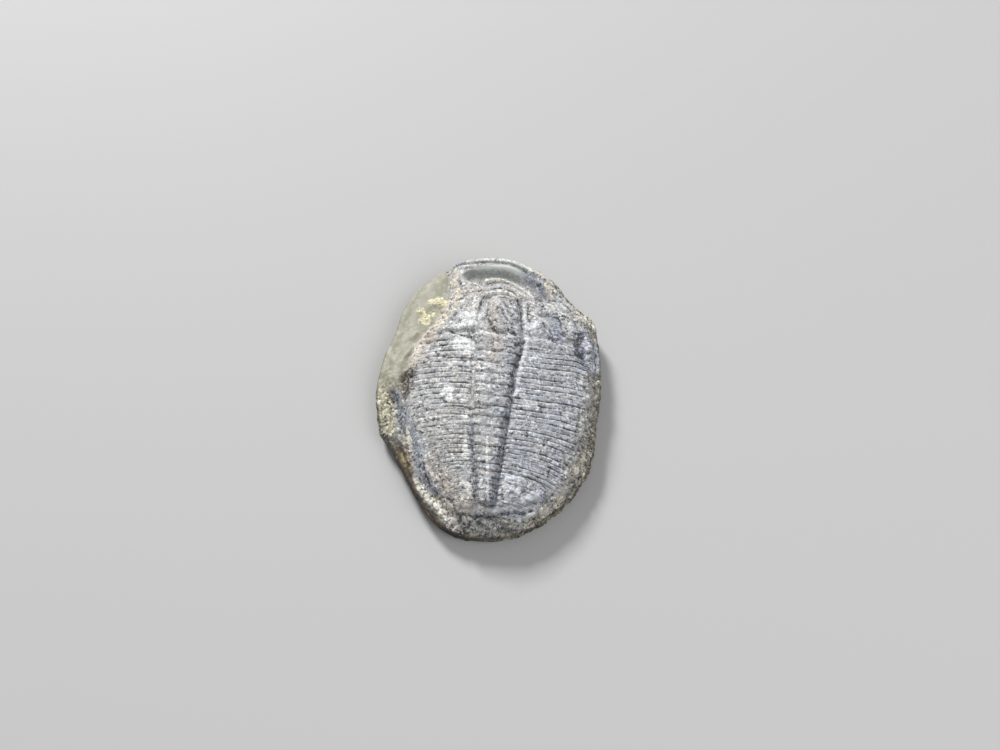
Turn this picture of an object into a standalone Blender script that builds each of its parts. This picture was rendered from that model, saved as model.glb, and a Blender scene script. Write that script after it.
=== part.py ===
"""Trilobite fossil in its stone, at real size.

An oval nodule of limestone, flat below, with the back of one trilobite standing up from its top: a raised
rim and a smooth hollow in front, the head with its middle lobe and two cheeks, thirteen body segments, and
the tail shield. Animal and matrix are one piece of rock, so they are one solid.

Frame: metres, +Z up, +Y towards the head, +X to the right as it is seen from above with the head away, the
origin at the middle of the flat base. Lengths below are in millimetres until the last step.

A "station" is a place along the midline. Each row of the top starts at its station on the midline and bends
back on its way out to the stone's edge, as the animal's segments do, so every furrow is one row of the mesh.
"""

import math

import bmesh
import bpy
import numpy as np
from mathutils import Vector, noise

NAME = "trilobite_fossil"
MM = 0.001

# Driving dimensions of the stone.
# How far the stone's edge lies from the origin, by direction in degrees from +X.
EDGE_REACH = (
    (0, 9.72), (12, 9.92), (23, 10.50), (32, 11.00), (38, 11.55), (46, 11.42), (54, 11.36), (62, 12.05),
    (70, 12.45), (80, 12.80), (90, 13.02), (99, 12.90), (107, 12.72), (115, 12.70), (121, 12.62),
    (128, 12.12), (136, 11.40), (148, 10.22), (162, 9.80), (180, 9.60), (197, 9.56), (206, 9.66),
    (216, 9.50), (226, 9.76), (238, 10.54), (248, 11.52), (257, 12.38), (266, 12.74), (277, 12.76),
    (286, 12.62), (296, 12.24), (306, 11.88), (318, 11.30), (329, 10.72), (340, 9.96), (350, 9.66),
)
# Height of the brow, where the top turns down into the side wall, by direction.
BROW_HEIGHT = (
    (0, 2.05), (35, 2.35), (58, 2.85), (75, 3.30), (90, 3.40), (102, 3.25), (108, 2.60), (113, 2.10),
    (125, 1.95), (150, 1.90), (180, 1.75), (215, 1.55), (250, 1.45), (270, 1.45), (300, 1.50), (330, 1.80),
)
BROW_INSET = 0.22
# The side wall below the brow: how far in from the edge each ring lies, and its share of the brow's height.
WALL_RINGS = ((0.04, 0.80), (0.00, 0.56), (0.18, 0.28), (0.75, 0.08))
BASE_INSET = 1.60
BASE_RINGS = (0.72, 0.40)

# Driving dimensions of the animal.
MIDLINE = 0.70
FRONT, TAIL = 12.68, -12.50
THORAX_FRONT, THORAX_REAR = 3.42, -7.83
SEGMENTS = 13
SEGMENT_TAPER = 0.42
TAIL_RIBS = 5
TAIL_AXIS_END = -10.45
TAIL_CURVE = 0.38
SHIELD_END = -11.10
GLABELLA_FRONT = 8.62
GLABELLA_CURVE = 1.75
OCCIPITAL_FURROW = 4.32
CRANIDIUM_FRONT = 9.78

# Half widths of the middle lobe: station, width.
AXIS_HALF = (
    (12.6, 1.40), (9.0, 1.40), (7.8, 1.57), (5.6, 1.87), (3.9, 2.17), (3.0, 2.00), (0.7, 1.70), (-1.2, 1.50),
    (-3.0, 1.32), (-4.7, 1.18), (-6.8, 1.00), (-8.8, 0.80), (-10.3, 0.72), (-12.6, 0.66),
)
# How much wider than its right half the left half of the lobe is: station, width.
LEFT_WIDER = ((4.0, 0.0), (1.6, 0.10), (-1.5, 0.30), (-3.7, 0.42), (-6.2, 0.28), (-8.4, 0.14), (-10.2, 0.0))
# Half widths of the whole animal, left and right of the midline: station, width.
LEFT_HALF = (
    (12.6, 4.60), (9.7, 4.35), (8.0, 4.60), (6.4, 5.20), (4.6, 6.45), (3.2, 7.10), (1.0, 7.45), (-1.4, 7.05),
    (-4.0, 6.45), (-6.2, 5.60), (-8.0, 4.65), (-9.4, 3.60), (-10.5, 2.60), (-11.1, 1.95), (-12.6, 1.30),
)
RIGHT_HALF = (
    (12.6, 4.10), (9.7, 5.80), (8.0, 7.10), (6.4, 7.90), (4.6, 8.10), (3.2, 7.95), (1.0, 7.85), (-1.4, 7.60),
    (-4.0, 7.15), (-6.2, 6.50), (-8.0, 5.70), (-9.4, 4.65), (-10.5, 3.65), (-11.1, 2.80), (-12.6, 1.70),
)
# The directions in which the row of a station meets the stone's edge: station, left, right.
ROW_ENDS = (
    (FRONT, 116.0, 60.0), (11.0, 125.5, 51.0), (9.7, 133.0, 43.5), (8.0, 141.0, 36.5), (5.5, 153.0, 27.0),
    (3.4, 163.5, 16.0), (0.0, 184.0, -3.6), (-4.0, 210.3, -28.0), (-7.8, 238.0, -52.0), (-10.4, 250.5, -66.0),
    (TAIL, 258.0, -77.0),
)
# How square the bend of a row is: 2 is an even arc, 3 stays straight beside the midline and then turns back.
ROW_BEND = ((FRONT, 2.0), (8.0, 2.1), (3.4, 2.9), (-6.0, 2.6), (-9.0, 2.1), (TAIL, 2.0))
# How far the left rows swing forward half way out, and how far the rings bow back over the lobe.
LEFT_SWING = 0.24
LOBE_BOW = 0.16
# Height of the animal's back along the midline, without the middle lobe: station, height.
CREST_HEIGHT = (
    (9.6, 3.80), (8.4, 4.02), (6.5, 4.22), (4.0, 4.34), (1.0, 4.34), (-3.0, 4.14), (-6.5, 3.80), (-9.0, 3.44),
    (-10.6, 3.10), (-11.1, 2.94),
)
# The rim and the hollow in front of the head, along the midline: station, height.
HOLLOW_PROFILE = (
    (FRONT, 3.40), (12.52, 3.70), (12.36, 3.76), (12.16, 3.60), (12.0, 3.57), (11.66, 3.62), (11.2, 3.34),
    (10.75, 3.06), (10.30, 2.94), (9.90, 3.06),
)
FALL_TO_MARGIN = 1.40
LOBE_HEIGHT = 0.54
# How much more the front of the lobe, the glabella, swells than the body does.
GLABELLA_SWELL = 0.30
FURROW_DEPTH = 0.20
RING_HEIGHT = 0.15
RIB_HEIGHT = 0.075


def curve_through(points, at):
    """The smooth curve through (place, value) points at these places. Past its ends it keeps its value."""
    points = sorted(points)
    place = np.array([p[0] for p in points], float)
    value = np.array([p[1] for p in points], float)
    slope = np.gradient(value, place)
    at = np.clip(np.asarray(at, float), place[0], place[-1])
    k = np.clip(np.searchsorted(place, at, side="right") - 1, 0, len(place) - 2)
    gap = place[k + 1] - place[k]
    t = (at - place[k]) / gap
    return (
        value[k] * (1 + 2 * t) * (1 - t) ** 2
        + slope[k] * gap * t * (1 - t) ** 2
        + value[k + 1] * t * t * (3 - 2 * t)
        + slope[k + 1] * gap * t * t * (t - 1)
    )


def round_the_compass(points, degrees):
    """curve_through for values that repeat after a full turn."""
    turns = [(a + turn, v) for turn in (-360, 0, 360) for a, v in points]
    return curve_through(turns, np.asarray(degrees, float) % 360)


def ease(start, end, x):
    """0 before start and 1 after end, with a smooth rise between them. It falls where end is below start."""
    t = np.clip((np.asarray(x, float) - start) / (end - start), 0, 1)
    return t * t * (3 - 2 * t)


def hump(x, centre, half_width):
    """A smooth bump of height 1 that reaches 0 at half_width to either side of its centre."""
    return ease(half_width, 0, np.abs(np.asarray(x, float) - centre))


def roughness(x, y, z, size, seed):
    """Smooth noise from -1 to 1 whose lumps are about `size` across."""
    offset = Vector((seed * 7.3, seed * 3.1, seed * 5.7))
    points = np.broadcast_arrays(x, y, z)
    values = [noise.noise(Vector(p) / size + offset) for p in zip(*(a.ravel() for a in points))]
    return np.array(values).reshape(points[0].shape)


def edge_point(degrees, inset=0.0):
    """x, y of the stone's edge in this direction, moved in by inset."""
    reach = round_the_compass(EDGE_REACH, degrees) - inset
    return reach * np.cos(np.radians(degrees)), reach * np.sin(np.radians(degrees))


def segment_joints():
    """The stations of the joints between the body segments, which get shorter towards the tail."""
    share = 1 - SEGMENT_TAPER * (np.arange(SEGMENTS) / (SEGMENTS - 1)) ** 2
    lengths = share * (THORAX_FRONT - THORAX_REAR) / share.sum()
    return THORAX_FRONT - np.concatenate([[0], np.cumsum(lengths)])


def tail_joints():
    """The stations of the joints between the rings that have grown together in the tail shield."""
    return np.linspace(THORAX_REAR, TAIL_AXIS_END, TAIL_RIBS + 1)


def row_stations():
    """One station for each row of the top, from the front edge to the tail edge."""
    rim = [FRONT, 12.52, 12.36, 12.16, 11.90, 11.66, 11.20, 10.75, 10.30, 9.90, CRANIDIUM_FRONT - 0.04]
    head = [9.35, 8.90, GLABELLA_FRONT, 8.15, 7.60, 7.00, 6.30, 5.60, 4.95, OCCIPITAL_FURROW + 0.25]
    neck = [OCCIPITAL_FURROW, 4.05, 3.72]
    joints = segment_joints()
    body = [a + (b - a) * q for a, b in zip(joints, joints[1:]) for q in (0, 0.25, 0.5, 0.75)]
    tail = [a + (b - a) * q for a, b in zip(tail_joints(), tail_joints()[1:]) for q in (0, 0.5)]
    shield = [TAIL_AXIS_END, -10.85, SHIELD_END + 0.04, SHIELD_END - 0.16, -11.65, -12.10, TAIL]
    return np.array(rim + head + neck + body + tail + shield)


def row_ends(station):
    """The two points where this row meets the brow: left x, left y, right x, right y."""
    left = curve_through([(r[0], r[1]) for r in ROW_ENDS], station)
    right = curve_through([(r[0], r[2]) for r in ROW_ENDS], station)
    return *edge_point(left, BROW_INSET), *edge_point(right, BROW_INSET)


def row_shape(share, station, side):
    """1 at the midline and 0 at the row's end: a bent bar. The end rows follow the stone's edge."""
    shape = 1 - share ** curve_through(ROW_BEND, station)
    for limit, inside in ((FRONT, 9.6), (TAIL, -10.8)):
        _, first, last = ROW_ENDS[0] if limit > 0 else ROW_ENDS[-1]
        ex, ey = edge_point(np.linspace(first, last + 360 * (limit < 0), 160), BROW_INSET)
        order = np.argsort(ex)
        end_x, end_y = (ex[order][0], ey[order][0]) if side < 0 else (ex[order][-1], ey[order][-1])
        along = np.interp(MIDLINE + share * (end_x - MIDLINE), ex[order], ey[order])
        middle = np.interp(MIDLINE, ex[order], ey[order])
        follow = ease(inside, limit, station)
        shape = shape * (1 - follow) + (along - end_y) / (middle - end_y) * follow
    return shape


def row_sway(share, lobe_share, station, side):
    """How far a row departs from that shape: forward on the left side, and back over the middle lobe."""
    inside = ease(-10.8, -9.0, station) * ease(9.6, 7.5, station)
    swing = LEFT_SWING * 4 * share * (1 - share) * (side < 0)
    return inside * (swing - LOBE_BOW * np.clip(1 - lobe_share**2, 0, 1))


def lobe_half(station, on_left):
    """Half the width of the middle lobe on one side."""
    return curve_through(AXIS_HALF, station) + on_left * curve_through(LEFT_WIDER, station)


def row_of_points(station):
    """x and y along one row. Its columns keep to the middle lobe's furrows and to the animal's margins."""
    left_x, left_y, right_x, right_y = (float(v) for v in row_ends(station))
    sides = {}
    for side, halves, end_x, end_y in ((-1, LEFT_HALF, left_x, left_y), (1, RIGHT_HALF, right_x, right_y)):
        axis = float(lobe_half(station, side < 0))
        edge = abs(end_x - MIDLINE)
        margin = min(float(curve_through(halves, station)), edge - 0.55)
        inner = min(axis + 0.30, 0.5 * (axis + margin))
        knots = (0, 0.55 * axis, axis - 0.26, axis, inner, margin - 0.30, margin, margin + 0.22, edge)
        steps = (2, 1, 1, 1, 8, 1, 1, 4)
        bands = [a + (b - a) * np.arange(n) / n for a, b, n in zip(knots, knots[1:], steps)]
        away = np.concatenate(bands + [[edge]])
        y = end_y + (station - end_y) * row_shape(away / edge, station, side)
        sides[side] = (MIDLINE + side * away, y + row_sway(away / edge, away / axis, station, side))
    return tuple(np.concatenate([sides[-1][i][:0:-1], sides[1][i]]) for i in (0, 1))


def widths_at(x, station):
    """Distance from the midline, and the half widths of the lobe, the animal and the stone on that side."""
    side = x < MIDLINE
    left_x, _, right_x, _ = row_ends(station)
    edge = np.where(side, MIDLINE - left_x, right_x - MIDLINE)
    margin = np.where(side, curve_through(LEFT_HALF, station), curve_through(RIGHT_HALF, station))
    return np.abs(x - MIDLINE), lobe_half(station, side), np.minimum(margin, edge - 0.55), edge


def back_form(away, margin, station):
    """The back of the animal without its middle lobe: almost level inside, and falling to the margins."""
    out = away / margin
    fall = FALL_TO_MARGIN * (0.20 * out**1.5 + 0.80 * np.clip(out, 0, 1.2) ** 3.2)
    fall = fall * (0.55 + 0.45 * ease(-11.5, -7.5, station)) * (1 - 0.62 * ease(5.5, 9.5, station))
    return curve_through(CREST_HEIGHT, station) - fall


def middle_lobe(away, axis, station):
    """The lobe along the midline, with the furrow at each side. It ends round in front and behind."""
    past_front = np.clip(station - (GLABELLA_FRONT - GLABELLA_CURVE), 0, None) / GLABELLA_CURVE
    past_tail = np.clip(TAIL_AXIS_END + TAIL_CURVE - station, 0, None) / TAIL_CURVE
    out = np.hypot(away / axis, past_front + past_tail)
    lobe = np.clip(1 - out**2, 0, 1) ** 0.6
    growth = 0.62 + 0.38 * ease(-10.5, 0.0, station) + GLABELLA_SWELL * ease(4.0, 6.0, station)
    return LOBE_HEIGHT * growth * lobe - FURROW_DEPTH * hump(out, 1.0, 0.40 / axis)


def body_rings(away, axis, margin, station):
    """The thirteen segments: one ring each on the middle lobe, and two ribs each on the sides."""
    joints = segment_joints()
    k = np.clip(np.searchsorted(-joints, -station, side="right") - 1, 0, SEGMENTS - 1)
    share = np.clip((joints[k] - station) / (joints[k] - joints[k + 1]), 0, 1)
    here = (station <= THORAX_FRONT + 0.01) & (station >= THORAX_REAR - 0.01)
    ring = RING_HEIGHT * (np.sin(np.pi * share) ** 0.7 - 0.55)
    rib = -RIB_HEIGHT * np.cos(4 * np.pi * share)
    on_lobe = ease(axis + 0.05, axis - 0.35, away)
    on_side = ease(axis + 0.12, axis + 0.42, away) * ease(margin, margin - 0.8, away)
    return np.where(here, ring * on_lobe + rib * on_side, 0)


def tail_rings(away, axis, margin, station):
    """The rings of the tail shield: plain on the lobe, and fainter beside it, where they die out."""
    joints = tail_joints()
    share = (joints[0] - station) / (joints[0] - joints[1])
    here = (station < THORAX_REAR) & (station > TAIL_AXIS_END)
    wave = -np.cos(2 * np.pi * share)
    on_lobe = 0.05 * ease(axis + 0.02, axis - 0.25, away)
    on_side = 0.055 * ease(axis + 0.1, axis + 0.5, away) * ease(margin - 0.5, margin - 1.9, away)
    border = -0.07 * hump(away, margin - 0.75, 0.5) * ease(THORAX_REAR + 1.0, THORAX_REAR - 0.4, station)
    return np.where(here, wave * (on_lobe + on_side), 0) + border


def head_relief(x, y, away, axis, station):
    """Furrows, neck ring, eye ridges and cheeks of the head."""
    in_head = ease(THORAX_FRONT - 0.05, THORAX_FRONT + 0.15, station) * ease(9.9, 9.5, station)
    neck = 0.10 * hump(station, 3.85, 0.5) - 0.18 * hump(station, OCCIPITAL_FURROW, 0.42)
    slant = station + 0.45 * (axis - away)
    side_furrows = hump(slant, 5.55, 0.34) + hump(slant, 6.75, 0.34)
    side_furrows = side_furrows * ease(0.40 * axis, 0.80 * axis, away) * (away < axis)
    left_eye = hump(np.hypot((x + 2.45) / 0.70, (y - 5.75) / 1.30), 0, 1.0)
    right_eye = hump(np.hypot((x - 4.35) / 0.70, (y - 5.50) / 1.30), 0, 1.0)
    step = 0.05 * np.cos(2 * np.pi * (station - CRANIDIUM_FRONT) / 0.42) * hump(station, 9.3, 0.75)
    cheek_dip = 0.10 * hump(away, axis + 1.0, 0.9) * hump(y, 5.6, 1.8)
    return in_head * (neck - 0.09 * side_furrows + 0.26 * (left_eye + right_eye) + step - cheek_dip)


def front_hollow(x, away, margin, station, height):
    """Puts the raised rim and the smooth hollow in front of the head in place of the back's own form."""
    length = FRONT - CRANIDIUM_FRONT
    stretch = length / (length + 0.62 * np.clip(x - 1.3, 0, 2.6))
    profile = curve_through(HOLLOW_PROFILE, FRONT - (FRONT - station) * stretch)
    crest = 3.62 - 0.16 * np.clip(-x - 2.2, 0, None)
    open_left = ease(margin - 0.15, margin - 1.0, away)
    profile = np.where(x < MIDLINE, crest + (profile - crest) * open_left, profile)
    profile = profile - 0.10 * np.clip(x - 1.5, 0, None) ** 1.25
    start = FRONT - length / stretch
    in_front = ease(-0.22, 0.10, station - start) * ease(6.6, 4.6, x)
    return height + (profile - height) * in_front


def matrix_beyond(x, y, away, margin, edge, station, height):
    """Beyond the margins the matrix slopes to the brow: a crust, or a smooth ledge at the front left."""
    brow = round_the_compass(BROW_HEIGHT, np.degrees(np.arctan2(y, x)))
    share = np.clip((away - margin) / np.maximum(edge - margin, 0.1), 0, 1)
    lump = 0.15 * roughness(x, y, 0.0, 1.5, 3) * hump(share, 0.5, 0.5)
    crust = height + (brow - height) * (0.25 * share + 0.75 * share**1.6) + lump
    ledge_top = 2.45 + 0.045 * (y - 1.0)
    ledge = ledge_top + (brow - ledge_top) * share**3.2
    on_ledge = (x < 0) * ease(-1.6, 0.6, y) * ease(0.0, 0.14, share)
    raised_edge = np.where(x < 0, 0.12, 0.03) * hump(away, margin, 0.38) * ease(9.7, 7.8, station)
    return np.where(away > margin, crust * (1 - on_ledge) + ledge * on_ledge, height) + raised_edge


def tail_ledge(x, y, station, height):
    """Behind the tail shield a rough ledge of matrix stands lower, and slopes to the brow."""
    brow = round_the_compass(BROW_HEIGHT, np.degrees(np.arctan2(y, x)))
    share = np.clip((SHIELD_END - station) / (SHIELD_END - TAIL), 0, 1)
    ledge = 2.62 + (brow - 2.62) * (0.35 * share + 0.65 * share**2)
    ledge = ledge + 0.12 * roughness(x, y, 0.0, 0.9, 5) * hump(share, 0.5, 0.5)
    behind = ease(SHIELD_END + 0.02, SHIELD_END - 0.16, station)
    return height + (np.minimum(ledge, height) - height) * behind


def hollows_in_the_top(x, y):
    """How deep the top is cut where shell and matrix have broken out."""
    right_cheek = 0.55 * hump(np.hypot((x - 8.05 - 0.20 * (4 - y)) / 0.95, (y - 3.7) / 1.90), 0, 1.0)
    left_side = 0.50 * hump(np.hypot((x + 6.95) / 0.72, (y + 0.05) / 1.25), 0, 1.0)
    left_band = 0.26 * hump(x + 7.35 + 0.34 * (y + 3.0), 0, 0.75) * ease(-8.8, -7.4, y) * ease(-0.6, -1.6, y)
    return right_cheek + left_side + left_band


def top_height(x, y, station):
    """Height of the stone's top above its base."""
    away, axis, margin, edge = widths_at(x, station)
    height = back_form(away, margin, station) + middle_lobe(away, axis, station) * (away < margin)
    height = height + body_rings(away, axis, margin, station) + tail_rings(away, axis, margin, station)
    height = height + head_relief(x, y, away, axis, station)
    height = front_hollow(x, away, margin, station, height)
    height = matrix_beyond(x, y, away, margin, edge, station, height)
    height = tail_ledge(x, y, station, height) - hollows_in_the_top(x, y)
    brow = round_the_compass(BROW_HEIGHT, np.degrees(np.arctan2(y, x)))
    from_end = np.minimum(FRONT - station, station - TAIL)
    at_edge = np.maximum(ease(0.90, 1.0, away / edge), ease(0.12, 0.0, from_end))
    return height + (brow - height) * at_edge


def top_grid():
    """x, y, z of every point of the top: one line for each row, one column for each place across."""
    stations = row_stations()
    rows = [row_of_points(station) for station in stations]
    x = np.array([r[0] for r in rows])
    y = np.array([r[1] for r in rows])
    return x, y, top_height(x, y, stations[:, None] + 0 * x)


def shape_top(mesh):
    """Makes a grid of rows and columns and moves each of its points to its place on the stone's top."""
    x, y, z = top_grid()
    rows, columns = x.shape
    bmesh.ops.create_grid(mesh, x_segments=columns - 1, y_segments=rows - 1, size=1.0)
    for vert in mesh.verts:
        column = round((vert.co.x + 1) / 2 * (columns - 1))
        row = round((1 - vert.co.y) / 2 * (rows - 1))
        vert.co = (x[row, column], y[row, column], z[row, column])


def next_ring(mesh, edges, place):
    """Extrudes the open edge loop and puts each of the new points where place(direction, point) says."""
    grown = bmesh.ops.extrude_edge_only(mesh, edges=edges)["geom"]
    for vert in (g for g in grown if isinstance(g, bmesh.types.BMVert)):
        vert.co = place(math.degrees(math.atan2(vert.co.y, vert.co.x)), vert.co)
    return [g for g in grown if isinstance(g, bmesh.types.BMEdge)]


def wall_place(inset, height_share):
    """Where a ring of the side wall lies."""

    def place(direction, point):
        height = float(round_the_compass(BROW_HEIGHT, direction)) * height_share
        lump = 0.14 * noise.noise(Vector((point.x, point.y, height * 1.5)) / 1.3)
        x, y = edge_point(direction, inset + lump * (height_share < 0.7))
        return float(x), float(y), height

    return place


def base_place(direction, _point):
    """Where the flat base begins."""
    x, y = edge_point(direction, BASE_INSET + 0.35 * math.sin(math.radians(5 * direction)))
    return float(x), float(y), 0.0


def close_below(mesh):
    """Adds the side wall and the flat base to the open edge of the top."""
    edges = [e for e in mesh.edges if e.is_boundary]
    for inset, height_share in WALL_RINGS:
        edges = next_ring(mesh, edges, wall_place(inset, height_share))
    edges = next_ring(mesh, edges, base_place)
    for share in BASE_RINGS:
        edges = next_ring(mesh, edges, lambda _, point, s=share: (point.x * s, point.y * s, 0.0))
    bmesh.ops.triangle_fill(mesh, use_beauty=True, edges=edges)


def stone_material():
    """Grey calcite and limestone."""
    material = bpy.data.materials.new("grey_fossil_stone")
    material.use_nodes = True
    shader = material.node_tree.nodes["Principled BSDF"]
    shader.inputs["Base Color"].default_value = (0.31, 0.31, 0.32, 1)
    shader.inputs["Roughness"].default_value = 0.62
    shader.inputs["Metallic"].default_value = 0.0
    return material


def build():
    for obj in list(bpy.data.objects):
        bpy.data.objects.remove(obj)
    collection = bpy.data.collections.new(NAME)
    bpy.context.scene.collection.children.link(collection)
    mesh = bmesh.new()
    shape_top(mesh)
    close_below(mesh)
    bmesh.ops.recalc_face_normals(mesh, faces=mesh.faces)
    bmesh.ops.scale(mesh, vec=(MM, MM, MM), verts=mesh.verts)
    data = bpy.data.meshes.new(NAME)
    mesh.to_mesh(data)
    mesh.free()
    data.materials.append(stone_material())
    data.shade_smooth()
    data.set_sharp_from_angle(angle=math.radians(40))
    collection.objects.link(bpy.data.objects.new(NAME, data))


build()
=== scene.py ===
import bpy
import numpy as np
from mathutils import Matrix, Vector, noise


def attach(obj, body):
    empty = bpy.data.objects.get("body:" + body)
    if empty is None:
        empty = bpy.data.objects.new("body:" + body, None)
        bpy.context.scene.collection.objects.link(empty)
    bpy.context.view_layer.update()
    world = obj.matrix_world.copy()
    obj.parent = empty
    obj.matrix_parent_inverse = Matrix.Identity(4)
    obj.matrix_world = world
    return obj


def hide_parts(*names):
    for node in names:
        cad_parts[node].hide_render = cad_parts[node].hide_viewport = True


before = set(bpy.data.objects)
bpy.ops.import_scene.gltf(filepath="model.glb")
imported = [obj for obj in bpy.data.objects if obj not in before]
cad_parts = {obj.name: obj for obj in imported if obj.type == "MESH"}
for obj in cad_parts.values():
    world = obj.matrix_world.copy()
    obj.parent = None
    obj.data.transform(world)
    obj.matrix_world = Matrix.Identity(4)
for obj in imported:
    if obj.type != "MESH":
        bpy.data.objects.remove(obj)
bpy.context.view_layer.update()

MM = 0.001

# Camera: a hand-held macro view from the tail end, about 63 degrees above the table.
EYE = (3.21, -29.80, 63.71)
LOOK_AT = (0.94, 2.58, 0.0)
LENS = 28.8
NEAREST_SEEN = 2.0


def aim(obj, place, target):
    """Puts the object at a place in millimetres and points its -Z at the target."""
    obj.location = Vector(place) * MM
    obj.rotation_euler = (Vector(target) - Vector(place)).to_track_quat("-Z", "Y").to_euler()
    bpy.context.scene.collection.objects.link(obj)


camera = bpy.data.cameras.new("camera")
camera.lens = LENS
camera.clip_start = NEAREST_SEEN * MM
camera_object = bpy.data.objects.new("camera", camera)
aim(camera_object, EYE, LOOK_AT)
bpy.context.scene.camera = camera_object

# Table and light: a plain pale top, and soft studio light that comes low from the far left, so that the
# furrows of the animal show. A weak fill opens the shadows.
FLOOR_DROP = 0.02
FLOOR_HALF = 900.0
KEY_PLACE, KEY_SIZE, KEY_POWER = (-230.0, 400.0, 300.0), 120.0, 3.4
FILL_PLACE, FILL_SIZE, FILL_POWER = (220.0, -120.0, 240.0), 240.0, 0.5
TABLE_COLOUR, TABLE_ROUGHNESS = (0.52, 0.52, 0.515, 1), 0.8
SKY = (0.74, 0.75, 0.77, 1)
SKY_STRENGTH = 0.38

floor_mesh = bpy.data.meshes.new("table_top")
floor_mesh.from_pydata([(x * FLOOR_HALF * MM, y * FLOOR_HALF * MM, -FLOOR_DROP * MM)
                        for x, y in ((-1, -1), (1, -1), (1, 1), (-1, 1))], [], [(0, 1, 2, 3)])
floor = bpy.data.objects.new("table_top", floor_mesh)
bpy.context.scene.collection.objects.link(floor)
floor_material = bpy.data.materials.new("pale_table")
floor_material.use_nodes = True
floor_shader = floor_material.node_tree.nodes["Principled BSDF"]
floor_shader.inputs["Base Color"].default_value = TABLE_COLOUR
floor_shader.inputs["Roughness"].default_value = TABLE_ROUGHNESS
floor_mesh.materials.append(floor_material)

lamps = ("key", KEY_PLACE, KEY_SIZE, KEY_POWER), ("fill", FILL_PLACE, FILL_SIZE, FILL_POWER)
for name, place, size, power in lamps:
    lamp = bpy.data.lights.new(name, "AREA")
    lamp.size = size * MM
    lamp.energy = power
    aim(bpy.data.objects.new(name, lamp), place, (0, 0, 0))
world = bpy.data.worlds.new("studio")
world.use_nodes = True
world.node_tree.nodes["Background"].inputs["Color"].default_value = SKY
world.node_tree.nodes["Background"].inputs["Strength"].default_value = SKY_STRENGTH
bpy.context.scene.world = world
bpy.context.scene.view_settings.view_transform = "Standard"

# Fossil stone: an oval nodule of limestone, flat below, with the back of one trilobite standing up from it.
# Shell and matrix are one piece of rock. The form is worked out in mm, as one sheet of rows and columns.
# Each row starts at its "station" on the midline and bends back on its way out, as the animal's segments do.
# How far the edge lies from the middle, and how high the brow of the side wall is, by degrees from +X.
EDGE_REACH = (
    (0, 9.72), (12, 9.92), (23, 10.50), (32, 11.00), (38, 11.55), (46, 11.42), (54, 11.36),
    (62, 12.05), (70, 12.45), (80, 12.80), (90, 13.02), (99, 12.90), (107, 12.72), (115, 12.70),
    (121, 12.62), (128, 12.12), (136, 11.40), (148, 10.22), (162, 9.80), (180, 9.60), (197, 9.56),
    (206, 9.66), (216, 9.50), (226, 9.76), (238, 10.54), (248, 11.52), (257, 12.38), (266, 12.74),
    (277, 12.76), (286, 12.62), (296, 12.24), (306, 11.88), (318, 11.30), (329, 10.72), (340, 9.96),
    (350, 9.66),
)
BROW_HEIGHT = (
    (0, 2.05), (35, 2.35), (58, 2.85), (75, 3.30), (90, 3.40), (102, 3.25), (108, 2.60), (113, 2.10),
    (125, 1.95), (150, 1.90), (180, 1.75), (215, 1.55), (250, 1.45), (270, 1.45), (300, 1.50), (330, 1.80),
)
BROW_INSET = 0.22
# The side wall from the brow down: share of the way, how far in from the edge, share of the brow's height.
WALL = (
    (0, 0.22, 1.0), (0.2, 0.04, 0.80), (0.4, 0.0, 0.56), (0.6, 0.18, 0.28), (0.8, 0.75, 0.08), (1, 1.60, 0),
)
WALL_STEPS = 12
BASE_RINGS = (0.72, 0.40)
MIDLINE = 0.70
FRONT, TAIL = 12.68, -12.50
BODY_FRONT, BODY_REAR = 3.42, -7.83
SEGMENTS, TAIL_RIBS = 13, 5
SEGMENT_TAPER = 0.42
TAIL_AXIS_END, TAIL_CURVE = -10.45, 0.38
SHIELD_END = -11.10
LOBE_FRONT, LOBE_FRONT_CURVE = 8.62, 1.75
NECK_RING, NECK_FURROW, SIDE_FURROWS = 3.85, 4.32, (5.55, 6.75)
NECK_RING_HEIGHT, NECK_FURROW_DEPTH, SIDE_FURROW_DEPTH = 0.10, 0.18, 0.09
EYES, EYE_HALF_WIDTH, EYE_HALF_LENGTH, EYE_HEIGHT = ((-2.45, 5.75), (4.35, 5.50)), 0.70, 1.30, 0.26
HEAD_FRONT = 9.78
# Half the width of the middle lobe, and of the animal at its left and right, by station.
AXIS_HALF = (
    (12.6, 1.40), (9.0, 1.40), (7.8, 1.57), (5.6, 1.87), (3.9, 2.17), (3.0, 2.00), (0.7, 1.70), (-1.2, 1.50),
    (-3.0, 1.32), (-4.7, 1.18), (-6.8, 1.00), (-8.8, 0.80), (-10.3, 0.72), (-12.6, 0.66),
)
# How much wider than its right half the left half of the lobe is.
LEFT_WIDER = ((4.0, 0.0), (1.6, 0.10), (-1.5, 0.30), (-3.7, 0.42), (-6.2, 0.28), (-8.4, 0.14), (-10.2, 0.0))
LEFT_HALF = (
    (12.6, 4.60), (9.7, 4.35), (8.0, 4.60), (6.4, 5.20), (4.6, 6.45), (3.2, 7.10), (1.0, 7.45), (-1.4, 7.05),
    (-4.0, 6.45), (-6.2, 5.60), (-8.0, 4.65), (-9.4, 3.60), (-10.5, 2.60), (-11.1, 1.95), (-12.6, 1.30),
)
RIGHT_HALF = (
    (12.6, 4.10), (9.7, 5.80), (8.0, 7.10), (6.4, 7.90), (4.6, 8.10), (3.2, 7.95), (1.0, 7.85), (-1.4, 7.60),
    (-4.0, 7.15), (-6.2, 6.50), (-8.0, 5.70), (-9.4, 4.65), (-10.5, 3.65), (-11.1, 2.80), (-12.6, 1.70),
)
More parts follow.
